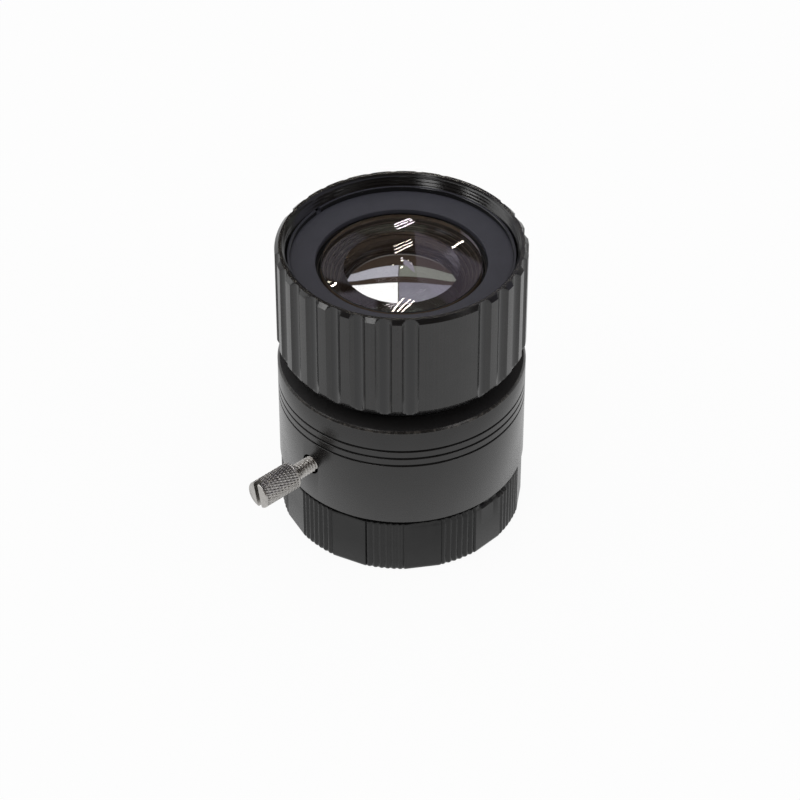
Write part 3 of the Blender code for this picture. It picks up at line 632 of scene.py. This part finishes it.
half_flute = math.degrees(math.acos((RING_R**2 + FLUTE_CENTRE**2 - FLUTE_R**2) / (2 * RING_R * FLUTE_CENTRE)))
turns = []
for place in range(360 // FLUTE_STEP):
    middle = FLUTE_TURN + FLUTE_STEP * place
    if place % 10 in (5, 6):
        turns += list(np.linspace(middle - FLUTE_STEP / 2, middle + FLUTE_STEP / 2, 12, endpoint=False))
    else:
        turns += list(np.linspace(middle - half_flute, middle + half_flute, 35))
        turns += list(np.linspace(middle + half_flute, middle + FLUTE_STEP - half_flute, 6)[1:-1])
ring_blank = revolve(
    "focus_ring_scalloped",
    [
        *[(RING_R - RING_CHAMFER * i / 3, RING_TOP - RING_CHAMFER * (3 - i) / 3) for i in (3, 2, 1, 0)],
        (RING_R, RING_TOP - 1.2),
        (RING_R, 31.5),
        (RING_R, RING_FOOT + 1.17),
        (RING_R - 0.14, RING_FOOT + 0.9),
        (RING_R - 0.35, RING_FOOT + 0.585),
        (RING_R - 0.55, RING_FOOT + 0.25),
        (RING_R - 0.7, RING_FOOT),
        (RING_BACK_R + 0.1, RING_FOOT),
        (RING_BACK_R, RING_FOOT + 0.1),
        (RING_BACK_R, RING_SHELF),
        (RING_BORE_R, RING_SHELF),
        (RING_BORE_R, LEDGE),
        (FILTER_R, LEDGE),
        *rows_between(FILTER_R, LEDGE + 0.1, RING_TOP - 0.14, 0.055),
        (FILTER_R + 0.12, RING_TOP),
    ],
    GRIP,
    np.radians(sorted(turns)),
    thread(FILTER_R, -0.24, 0.5, LEDGE + 0.9, RING_TOP - 0.1),
)
focus_ring = carved(
    ring_blank,
    {
        "Centre": FLUTE_CENTRE,
        "Cutter": FLUTE_R,
        "Step": math.radians(FLUTE_STEP),
        "Turn": math.radians(FLUTE_TURN),
    },
    scallops,
)
focus_ring.data.materials.append(MOUTH_BLACK)
for face in focus_ring.data.polygons:
    middle = face.center / MM
    if math.hypot(middle.x, middle.y) < RING_R - RING_CHAMFER + 0.01 or middle.z > RING_TOP - RING_CHAMFER - 0.01:
        face.material_index = 1
stands_for(focus_ring, "focus_ring", "focus_grip")

# The front bezel: an aluminium ring with a matt slate coating, screwed into the mouth of the focusing ring.
# It has a thin raised lip with two spanner notches, and its face slopes in to the glass.
BEZEL, shader, at = finish_of("matt_slate_bezel", {"IOR": 1.45, "Metallic": 0.0})
speck = noise(at["point"], 14.0, 4, 0.7)
cloud = noise(at["point"], 0.45, 2)
feed(shader, "Base Color", tone(cloud * 0.6 + speck * 0.4, (0.030, 0.030, 0.040), (0.050, 0.050, 0.064)))
feed(shader, "Roughness", speck * 0.12 + 0.5)
relief(shader, speck, 0.02)

BEZEL_R = 13.7
BEZEL_TOP = 37.2
BEZEL_FOOT = 35.4
BEZEL_BORE_R = 10.2
SLOPE_FOOT = 36.12
SLOPE_R = 12.9
LIP_R = 13.2
LIP_FOOT = 36.6
NOTCH = (0.75, 1.5, 0.8)
NOTCH_TURNS = (276.0, 96.0)
bezel_section = [
    (BEZEL_R - 0.2, BEZEL_TOP),
    (BEZEL_R, BEZEL_TOP - 0.2),
    (BEZEL_R, BEZEL_FOOT + 0.1),
    (BEZEL_R - 0.1, BEZEL_FOOT),
    (BEZEL_BORE_R + 0.1, BEZEL_FOOT),
    (BEZEL_BORE_R, BEZEL_FOOT + 0.1),
    (BEZEL_BORE_R, SLOPE_FOOT - 0.08),
    (BEZEL_BORE_R + 0.08, SLOPE_FOOT),
    (SLOPE_R, LIP_FOOT - 0.01),
    (SLOPE_R + 0.07, LIP_FOOT),
    (LIP_R, LIP_FOOT),
    (LIP_R, BEZEL_TOP - 0.05),
    (LIP_R + 0.05, BEZEL_TOP),
]
bezel_turns = np.radians(np.arange(0, 360, 0.5))
front_bezel = revolve("front_bezel_turned", bezel_section, BEZEL, bezel_turns)
front_bezel.data.materials.append(MOUTH_BLACK)
for face in front_bezel.data.polygons:
    if math.hypot(face.center.x, face.center.y) > (SLOPE_R + 0.05) * MM and face.normal.z < 0.8:
        face.material_index = 1
for turn in NOTCH_TURNS:
    to_rim = Matrix.Translation((0, -(LIP_R + 0.4), LIP_FOOT + 0.45))
    cut_out(front_bezel, slab(*NOTCH), Matrix.Rotation(math.radians(turn), 4, "Z") @ to_rim)
shaded(front_bezel)
stands_for(front_bezel, "front_bezel", "focus_grip")

# The main barrel: a black satin anodised tube that stays on the camera, with three turned index lines.
# Fine tool lines run round it, and its edges are broken, with lighter spots painted on them: partly wear from
# handling, partly painted glints.
BARREL_R = 15.0
BARREL_FOOT = 7.8
BARREL_TOP = 22.2
BARREL_EDGE = 0.32
INDEX_LINES = [BARREL_TOP - 3.0 - 1.1 * line for line in range(3)]
HELIX_R = 12.0
HELIX = (9.0, 21.5)
LOCK_Z = 13.2
LOCK_HOLE_R = 1.3
DRILL_DEPTH = 6

BODY_BLACK, shader, at = finish_of("black_satin_anodised", {"IOR": 1.5, "Metallic": 0.0})
lines = rings(at["z"], 7.0, 4.0)
fine = rings(at["z"], 26.0, 2.0)
grain = noise(at["point"], 12.0, 3, 0.6)
mottle = noise(at["point"], 0.35, 2)
wear_and_glint_noise = noise(at["point"], 2.2, 3, 0.6)
top_edge = at["z"].band(BARREL_TOP - 0.35, BARREL_TOP - 0.04, 0.04)
foot_edge = at["z"].band(BARREL_FOOT + 0.05, BARREL_FOOT + 0.3, 0.05)
edge = (top_edge + foot_edge) * at["radius"].maths("GREATER_THAN", BARREL_R - 0.3)
# Lighter spots on the top and foot edges: wear, and also painted glints where the edge would catch the light.
edge_wear_and_glint = (edge * (wear_and_glint_noise - 0.5) * 6.0).maths("MAXIMUM", 0.0).maths("MINIMUM", 1.0)
upper, middle, lower = (at["z"].band(level - 0.1, level + 0.1, 0.05) for level in INDEX_LINES)
index_grooves_shaded = upper + middle + lower
outside = at["radius"].maths("GREATER_THAN", BARREL_R - 1.0)
black = tone(mottle * 0.6 + lines * 0.4, (0.004, 0.0036, 0.0034), (0.014, 0.013, 0.013))
# The index grooves are painted darker than the tube: painted shade in the grooves. They are also made rougher.
black = mixed(index_grooves_shaded * outside, black, (0.001, 0.001, 0.001))
feed(shader, "Base Color", mixed(edge_wear_and_glint * 0.5, black, (0.09, 0.08, 0.07)))
ledge = at["z"].maths("GREATER_THAN", BARREL_TOP - 0.03)
feed(shader, "Roughness", grain * 0.1 + lines * 0.1 + 0.17 + index_grooves_shaded * 0.5 + ledge * 0.3)
relief(shader, lines * 0.45 + fine * 0.3 + grain * 0.35, 0.006)

barrel_outside = [
    (BARREL_R - BARREL_EDGE, BARREL_TOP),
    (BARREL_R - 0.26, BARREL_TOP - 0.02),
    (BARREL_R - 0.03, BARREL_TOP - 0.25),
    (BARREL_R, BARREL_TOP - BARREL_EDGE),
]
groove = ((0.17, 0), (0.14, 0.03), (0.08, 0.22), (0, 0.25), (-0.08, 0.22), (-0.14, 0.03), (-0.17, 0))
for middle in INDEX_LINES:
    barrel_outside += [(BARREL_R - depth, middle + offset) for offset, depth in groove]
barrel_section = [
    *barrel_outside,
    (BARREL_R, BARREL_FOOT + BARREL_EDGE),
    (BARREL_R - 0.03, BARREL_FOOT + 0.25),
    (BARREL_R - 0.28, BARREL_FOOT),
    (HELIX_R + 0.15, BARREL_FOOT),
    *rows_between(HELIX_R, BARREL_FOOT + 0.15, BARREL_TOP - 0.15, 0.125),
    (HELIX_R + 0.15, BARREL_TOP),
]
main_barrel = revolve(
    "main_barrel_turned", barrel_section, BODY_BLACK, shape=thread(HELIX_R, -0.1, 0.5, *HELIX, starts=6)
)
SIDEWAYS = Matrix.Rotation(math.radians(90), 4, "X")
in_wall = Matrix.Translation((0, -(BARREL_R - 1.5), LOCK_Z))
cut_out(main_barrel, drill(LOCK_HOLE_R, DRILL_DEPTH, sides=64), in_wall @ SIDEWAYS)
shaded(main_barrel)
stands_for(main_barrel, "main_barrel", "barrel")

# The mount ring: a black anodised ring screwed into the foot of the barrel, with the 32 turns per inch thread.
# Two ground steel pins pressed into its web run in the cell, so that the glass slides and doesn't turn.
MOUNT_R = 12.7
PITCH = 25.4 / 32
WEB = (6.4, 8.3)
WEB_BORE_R = 7.0
SPIGOT_R = 11.7
MOUTH_R = 11.2
THREAD = (3.8, 7.5)
PIN_R = 0.6
PIN_HOLE_R = 0.9
PIN_HOLE_MIDDLE = 7.3
PIN = (6.4, 12.6)
mount_section = [
    (SPIGOT_R - 0.1, WEB[1]),
    (SPIGOT_R, WEB[1] - 0.1),
    (SPIGOT_R, THREAD[1]),
    *reversed(rows_between(MOUNT_R, THREAD[0] + 0.4, THREAD[1], 0.055)),
    (MOUNT_R - 0.4, THREAD[0]),
    (MOUTH_R + 0.15, THREAD[0]),
    (MOUTH_R, THREAD[0] + 0.15),
    (MOUTH_R, WEB[0]),
    (WEB_BORE_R + 0.1, WEB[0]),
    (WEB_BORE_R, WEB[0] + 0.1),
    (WEB_BORE_R, WEB[1] - 0.1),
    (WEB_BORE_R + 0.1, WEB[1]),
]
mount_ring = revolve(
    "mount_ring_threaded", mount_section, BODY_BLACK, shape=thread(MOUNT_R, -0.42, PITCH, THREAD[0] + 0.1, THREAD[1])
)
for side in (1, -1):
    at_pin = Matrix.Translation((side * GUIDE_R, 0, PIN_HOLE_MIDDLE))
    cut_out(mount_ring, drill(PIN_HOLE_R, DRILL_DEPTH), at_pin)
shaded(mount_ring)
stands_for(mount_ring, "mount_ring", "barrel")

STEEL, shader, at = finish_of("plated_steel", {"Metallic": 1.0})
speck = noise(at["point"], 9.0, 4, 0.7)
patch = noise(at["point"], 1.3, 2)
feed(shader, "Base Color", tone(speck * 0.7 + patch * 0.3, (0.15, 0.145, 0.14), (0.66, 0.64, 0.61)))
feed(shader, "Roughness", speck * 0.22 + 0.14)
relief(shader, speck, 0.02)


def bar_section(radius, bottom, top, edge=0.1):
    """Half section of a solid round bar with broken edges."""
    return [
        (0, top),
        (radius - edge, top),
        (radius, top - edge),
        (radius, bottom + edge),
        (radius - edge, bottom),
        (0, bottom),
    ]


for number, side in ((1, 1), (2, -1)):
    pin = revolve(f"guide_pin_{number}_ground", bar_section(PIN_R, *PIN), STEEL, FULL_TURN[::6])
    pin.data.transform(Matrix.Translation((side * GUIDE_R * MM, 0, 0)))
    stands_for(pin, f"guide_pin_{number}", "barrel")

# The focus lock: a plated steel M2 thumb screw with a slotted, knurled head, turned in through the barrel.
# Its end pushes a small nylon pad on the focusing barrel, so that the thread there isn't marked.
NYLON, shader, at = finish_of("natural_nylon", {"Roughness": 0.45})
feed(shader, "Base Color", tone(noise(at["point"], 2.0), (0.62, 0.60, 0.53), (0.72, 0.70, 0.63)))
PAD_R = 1.0
PAD = (12.0, 13.2)
LAY_DOWN = Matrix.Translation((0, 0, LOCK_Z * MM)) @ SIDEWAYS
lock_pad = revolve("lock_pad_moulded", bar_section(PAD_R, *PAD), NYLON, FULL_TURN[::6])
lock_pad.data.transform(LAY_DOWN)
stands_for(lock_pad, "lock_pad", "lock_pad_body")

HEAD_R = 1.72
HEAD = (17.9, 23.4)
SHANK_R = 1.0
SHANK_TIP = 13.5
SLOT = (0.72, 5, 1.8)
SLOT_TURN = 12.8


def knurls(radius, z, angle, size):
    """The head's radius after two crossed knurling wheels; rows inside the head keep theirs."""
    waves = []
    for way in (1.0, -1.0):
        turns = angle * (size["Teeth"] / (2 * math.pi)) + z * (size["Slant"] * way)
        wave = (turns.maths("FRACT") - 0.5).maths("ABSOLUTE") * 2.0
        waves.append(wave.maths("SMOOTH_MIN", 0.8, 0.2))
    groove = waves[0].maths("MINIMUM", waves[1])
    depth = (1.0 - groove * 1.25).maths("MAXIMUM", 0.0) * size["Depth"]
    on_rim = radius.maths("GREATER_THAN", size["Rim"])
    ends = z.band(HEAD[0] + 0.3, HEAD[1] - 0.3, 0.1)
    return radius - depth * on_rim * ends


head_section = [
    (0, HEAD[1]),
    (HEAD_R - 0.2, HEAD[1]),
    (HEAD_R - 0.06, HEAD[1] - 0.07),
    *reversed(rows_between(HEAD_R, HEAD[0] + 0.18, HEAD[1] - 0.18, 0.055)),
    (HEAD_R - 0.16, HEAD[0]),
    (SHANK_R - 0.15, HEAD[0]),
    *reversed(rows_between(SHANK_R, SHANK_TIP + 0.2, HEAD[0] - 0.25, 0.035)),
    (SHANK_R - 0.28, SHANK_TIP),
    (0, SHANK_TIP),
]
screw_blank = revolve(
    "lock_screw_knurled",
    head_section,
    STEEL,
    np.linspace(0, 2 * math.pi, 216, endpoint=False),
    thread(SHANK_R, -0.24, 0.4, SHANK_TIP, HEAD[0] - 0.2),
)
lock_screw = carved(screw_blank, {"Teeth": 32, "Slant": 1.0, "Depth": 0.09, "Rim": HEAD_R - 0.01}, knurls)
across_head = Matrix.Rotation(math.radians(SLOT_TURN), 4, "Z")
cut_out(lock_screw, slab(*SLOT), Matrix.Translation((0, 0, HEAD[1])) @ across_head)
shaded(lock_screw, 32)
lock_screw.data.transform(LAY_DOWN)
stands_for(lock_screw, "lock_screw", "lock_screw_body")

# The rear dust cap: black moulded plastic with a coarse inner thread, screwed over the camera thread.
# Ten groups of six ribs give grip, with flat panels between them; its top edge is scuffed, and chipped in one place.
CAP_PLASTIC, shader, at = finish_of("black_moulded_plastic", {"IOR": 1.48, "Specular IOR Level": 0.32})
pores = noise(at["point"], 9.0, 3, 0.6)
cloud = noise(at["point"], 0.4, 2)
flow = rings(at["z"], 3.0, 3.0)
scuff = noise(at["point"], 5.0, 4, 0.75)
lip = at["z"].band(7.25, 7.7, 0.05)
nick = ((scuff - 0.56) * 9.0 * lip).maths("MAXIMUM", 0.0).maths("MINIMUM", 1.0)
patchy = cloud * 0.6 + pores * 0.3 + nick
feed(shader, "Base Color", tone(patchy, (0.004, 0.004, 0.004), (0.015, 0.015, 0.015)))
feed(shader, "Roughness", pores * 0.14 + 0.26 + nick * 0.15)
relief(shader, pores * 0.6 + flow * 0.2 - nick * 1.5, 0.02)

CAP_R = 14.87
CAP_ROOT = 14.7
CAP_TOP = 7.5
CAP_TURN = 2.8
CAP_GROUP = 36
CAP_BORE_R = 13.0
CAP_WEB = (0.12, 1.5)
RIB_STEP = 3
CHIPS_TURN = 96.5


def ribs(radius, z, angle, size):
    """The cap's radius: pointed ribs in each group, a chord from group to group, and chips in its top edge."""
    group = (angle - size["Turn"]) / size["Group"]
    off = (group - group.maths("ROUND")) * size["Group"]
    away = off.maths("ABSOLUTE")
    half = size["Pitch"] * 3.0
    share = (away / size["Pitch"]).maths("FRACT")
    peak = 0.5 - (share * (2 * math.pi)).maths("COSINE") * 0.5
    ribbed = size["Root"] + (size["Outer"] - size["Root"]) * peak.maths("POWER", 0.8)
    chord = size["Root"] / (size["Group"] * 0.5 - away).maths("COSINE")
    between = away.maths("GREATER_THAN", half)
    outline = ribbed + (chord - ribbed) * between
    taper = (size["Outer"] - radius).maths("MAXIMUM", 0.0)
    on_side = radius.maths("GREATER_THAN", size["Root"] - 0.5)
    chips = (angle * 47.0).maths("SINE") * (angle * 19.0).maths("SINE") * 0.25 + 0.42
    worst = angle.band(size["Chips"] - 0.17, size["Chips"] + 0.17, 0.03) * 0.7 + 0.3
    chipped = angle.band(size["Chips"] - 0.75, size["Chips"] + 0.25, 0.1) * worst * z.band(6.95, 8.0, 0.2) * chips
    return radius + ((outline - taper * 0.9).maths("MINIMUM", radius) - radius - chipped) * on_side


cap_turns = []
half_group = 3 * RIB_STEP
for group in range(10):
    middle = CAP_TURN + CAP_GROUP * group
    cap_turns += list(np.linspace(middle - half_group, middle + half_group, 72, endpoint=False))
    cap_turns += list(np.linspace(middle + half_group, middle + CAP_GROUP - half_group, 24, endpoint=False))
cap_blank = revolve(
    "rear_cap_ribbed",
    [
        (CAP_R - 0.14, CAP_TOP),
        (CAP_R - 0.04, CAP_TOP - 0.04),
        *[(CAP_R, CAP_TOP - down) for down in (0.14, 0.3, 0.45, 0.6, 0.8, 3.5, 6.9)],
        (CAP_R - 0.05, 0.4),
        (CAP_R - 0.18, 0.16),
        (CAP_R - 0.42, 0),
        (11.5, 0),
        (11.3, CAP_WEB[0]),
        (0, CAP_WEB[0]),
        (0, CAP_WEB[1]),
        (CAP_BORE_R - 0.1, CAP_WEB[1]),
        *rows_between(CAP_BORE_R, CAP_WEB[1] + 0.1, CAP_TOP - 0.2, 0.09),
        (CAP_BORE_R + 0.15, CAP_TOP),
    ],
    CAP_PLASTIC,
    np.radians(sorted(cap_turns)),
    thread(CAP_BORE_R, -0.22, PITCH, 2.6, CAP_TOP - 0.3),
)
rear_cap = carved(
    cap_blank,
    {
        "Outer": CAP_R,
        "Root": CAP_ROOT,
        "Pitch": math.radians(RIB_STEP),
        "Group": math.radians(CAP_GROUP),
        "Turn": math.radians(CAP_TURN),
        "Chips": math.radians(CHIPS_TURN),
    },
    ribs,
)
stands_for(rear_cap, "rear_cap", "dust_cap")

# The stage: a plain pale floor under a bright room with four panes overhead and a narrow side window.
# The room is white for the camera. Small slanted tube lamps and three soft lamps give the glints on the glass.
floor_mesh = bpy.data.meshes.new("floor")
floor_mesh.from_pydata([(-3, -3, 0), (3, -3, 0), (3, 3, 0), (-3, 3, 0)], [], [(0, 1, 2, 3)])
floor = bpy.data.objects.new("floor", floor_mesh)
bpy.context.scene.collection.objects.link(floor)
FLOOR, shader, at = finish_of("pale_floor", {"Roughness": 0.9, "Specular IOR Level": 0.1})
feed(shader, "Base Color", tone(noise(at["point"], 0.02), (0.86, 0.86, 0.86), (0.88, 0.88, 0.88)))
light = at["z"].add("ShaderNodeLightPath", output="Is Camera Ray")
direct = (light + light.also("Is Glossy Ray") + light.also("Is Transmission Ray")).maths("MINIMUM", 1.0)
white = light.add("ShaderNodeEmission", sockets={"Color": (1, 1, 1, 1), "Strength": 1.0})
both = light.add("ShaderNodeMixShader", sockets={0: direct * 0.94, 1: Wire(light.tree, shader.outputs[0]), 2: white})
light.tree.links.new(both.socket, light.tree.nodes["Material Output"].inputs["Surface"])
floor_mesh.materials.append(FLOOR)

VIEW_TURN = math.radians(47.0)
VIEW_RISE = math.radians(39.81)
VIEW_AWAY = 0.4
VIEW_LENS = 147.22
BACK = Vector(
    (math.sin(VIEW_TURN) * math.cos(VIEW_RISE), -math.cos(VIEW_TURN) * math.cos(VIEW_RISE), math.sin(VIEW_RISE))
)
RIGHT = Vector((math.cos(VIEW_TURN), math.sin(VIEW_TURN), 0))
AWAY = Vector((-math.sin(VIEW_TURN), math.cos(VIEW_TURN), 0))

world = bpy.data.worlds.new("surroundings")
world.use_nodes = True
bpy.context.scene.world = world
sky = Wire(world.node_tree)
toward = sky.add("ShaderNodeTexCoord", output="Generated")


def along(direction):
    return sky.add("ShaderNodeVectorMath", {"operation": "DOT_PRODUCT"}, {0: toward, 1: direction}, 1)


rise = along((0, 0, 1))
overhead = rise.maths("MAXIMUM", 0.02)
across = along(RIGHT) / overhead
behind = along(AWAY) / overhead - across * across * 0.16
back_row = behind.band(0.48, 1.02, 0.02)
front_row = behind.band(-0.4, 0.29, 0.02)
left = across.band(-3.5, -0.065, 0.01)
right = across.band(-0.045, 3.0, 0.01)
window = across.band(0.042, 0.26, 0.003) * (behind + across * 2.2).band(1.2, 1.82, 0.03)
panes = (
    (back_row * left, (0.78, 0.78, 0.88)),
    (back_row * right, (0.36, 0.38, 0.33)),
    (front_row * left, (1.0, 1.0, 1.0)),
    (front_row * right, (0.38, 0.37, 0.45)),
    (window, (0.50, 0.47, 0.56)),
)
near_floor = rise.band(-2.0, 0.2, 0.12)
room = tone(near_floor, (0.075, 0.055, 0.042), (1.0, 1.0, 1.0))
for share, colour in panes:
    room = mixed(share, room, colour)
light = sky.add("ShaderNodeLightPath", output="Is Camera Ray")
mirror_like = (light.also("Is Glossy Ray") + light.also("Is Transmission Ray")).maths("MINIMUM", 1.0)
in_gloss = mirror_like * light.also("Diffuse Depth").maths("LESS_THAN", 0.5)
lit = world.node_tree.nodes["Background"]
bright = in_gloss * (front_row * left * 1.1 + 1.0) + (1.0 - in_gloss) * 0.72
world.node_tree.links.new(((1.0 - light) * bright + light).socket, lit.inputs["Strength"])
colour = in_gloss.add("ShaderNodeMix", {"data_type": "RGBA"}, {0: in_gloss, 6: (1, 1, 1, 1), 7: room}, 2)
world.node_tree.links.new(colour.socket, lit.inputs["Color"])


TUBE_AWAY = 1.5
SOFT_AWAY = 1.2
LENS_TOP = Vector((0, 0, 36 * MM))


def lamp(name, rise, turn, distance, width, height, radiance, slant=0.0, tint=(1, 1, 1)):
    """A flat lamp aimed at the lens from an angle of rise, and a turn to the right of straight behind it."""
    light = bpy.data.lights.new(name, "AREA")
    light.shape = "RECTANGLE"
    light.size = width
    light.size_y = height
    light.energy = radiance * math.pi * width * height
    light.color = tint
    up, side = math.radians(rise), math.radians(turn)
    ray = (RIGHT * math.sin(side) + AWAY * math.cos(side)) * math.cos(up) + Vector((0, 0, math.sin(up)))
    held = bpy.data.objects.new(name, light)
    held.location = LENS_TOP + ray * distance
    spun = Matrix.Rotation(math.radians(slant), 3, "Z")
    held.rotation_euler = (ray.to_track_quat("Z", "Y").to_matrix() @ spun).to_euler()
    bpy.context.scene.collection.objects.link(held)


WARM, LILAC = (1.0, 0.95, 0.80), (0.97, 0.90, 1.0)
TUBES = (
    ("upper_1", 27.45, 0.08, 0.062, 0.004, 28, 50, LILAC),
    ("upper_2", 28.0, 0.25, 0.069, 0.004, 28, 52, LILAC),
    ("upper_3", 28.55, 0.5, 0.071, 0.004, 28, 53, LILAC),
    ("middle_1", 33.2, 0.13, 0.066, 0.004, 22, 47, WARM),
    ("middle_2", 33.96, 0.24, 0.071, 0.004, 30, 47, WARM),
    ("middle_3", 34.72, 0.27, 0.073, 0.004, 30, 52, WARM),
    ("far", 32.7, 6.7, 0.060, 0.006, 40, 69, WARM),
    ("near_1", 48.04, -0.72, 0.098, 0.005, 36, 65, WARM),
    ("near_2", 48.25, 0.14, 0.097, 0.005, 36, 62, WARM),
    ("near_3", 48.4, 0.88, 0.088, 0.005, 36, 61, WARM),
    ("left", 42.3, -10.2, 0.047, 0.008, 40, 54, WARM),
    ("right", 39.5, 11.2, 0.020, 0.008, 30, 0, WARM),
)
for place, rise_up, turn, length, width, radiance, slant, tint in TUBES:
    lamp(f"tube_{place}", rise_up, turn, TUBE_AWAY, length, width, radiance, slant, tint)
lamp("soft_left", 37.2, -105.5, SOFT_AWAY, 0.22, 0.22, 5.0)
lamp("soft_near", 48.2, -149.8, SOFT_AWAY, 0.22, 0.22, 5.0)
lamp("soft_right", 33.0, 127.0, SOFT_AWAY, 0.4, 0.3, 2.5)

view = bpy.data.cameras.new("photo_view")
view.lens = VIEW_LENS
view.sensor_width = 36.0
view.clip_start = 0.01
view.clip_end = 20.0
camera = bpy.data.objects.new("photo_view", view)
camera.location = RIGHT * (-0.199 * MM) + Vector((0, 0, 14.692 * MM)) + BACK * VIEW_AWAY
camera.rotation_euler = BACK.to_track_quat("Z", "Y").to_euler()
bpy.context.scene.collection.objects.link(camera)
bpy.context.scene.camera = camera
bpy.context.scene.view_settings.view_transform = "Standard"
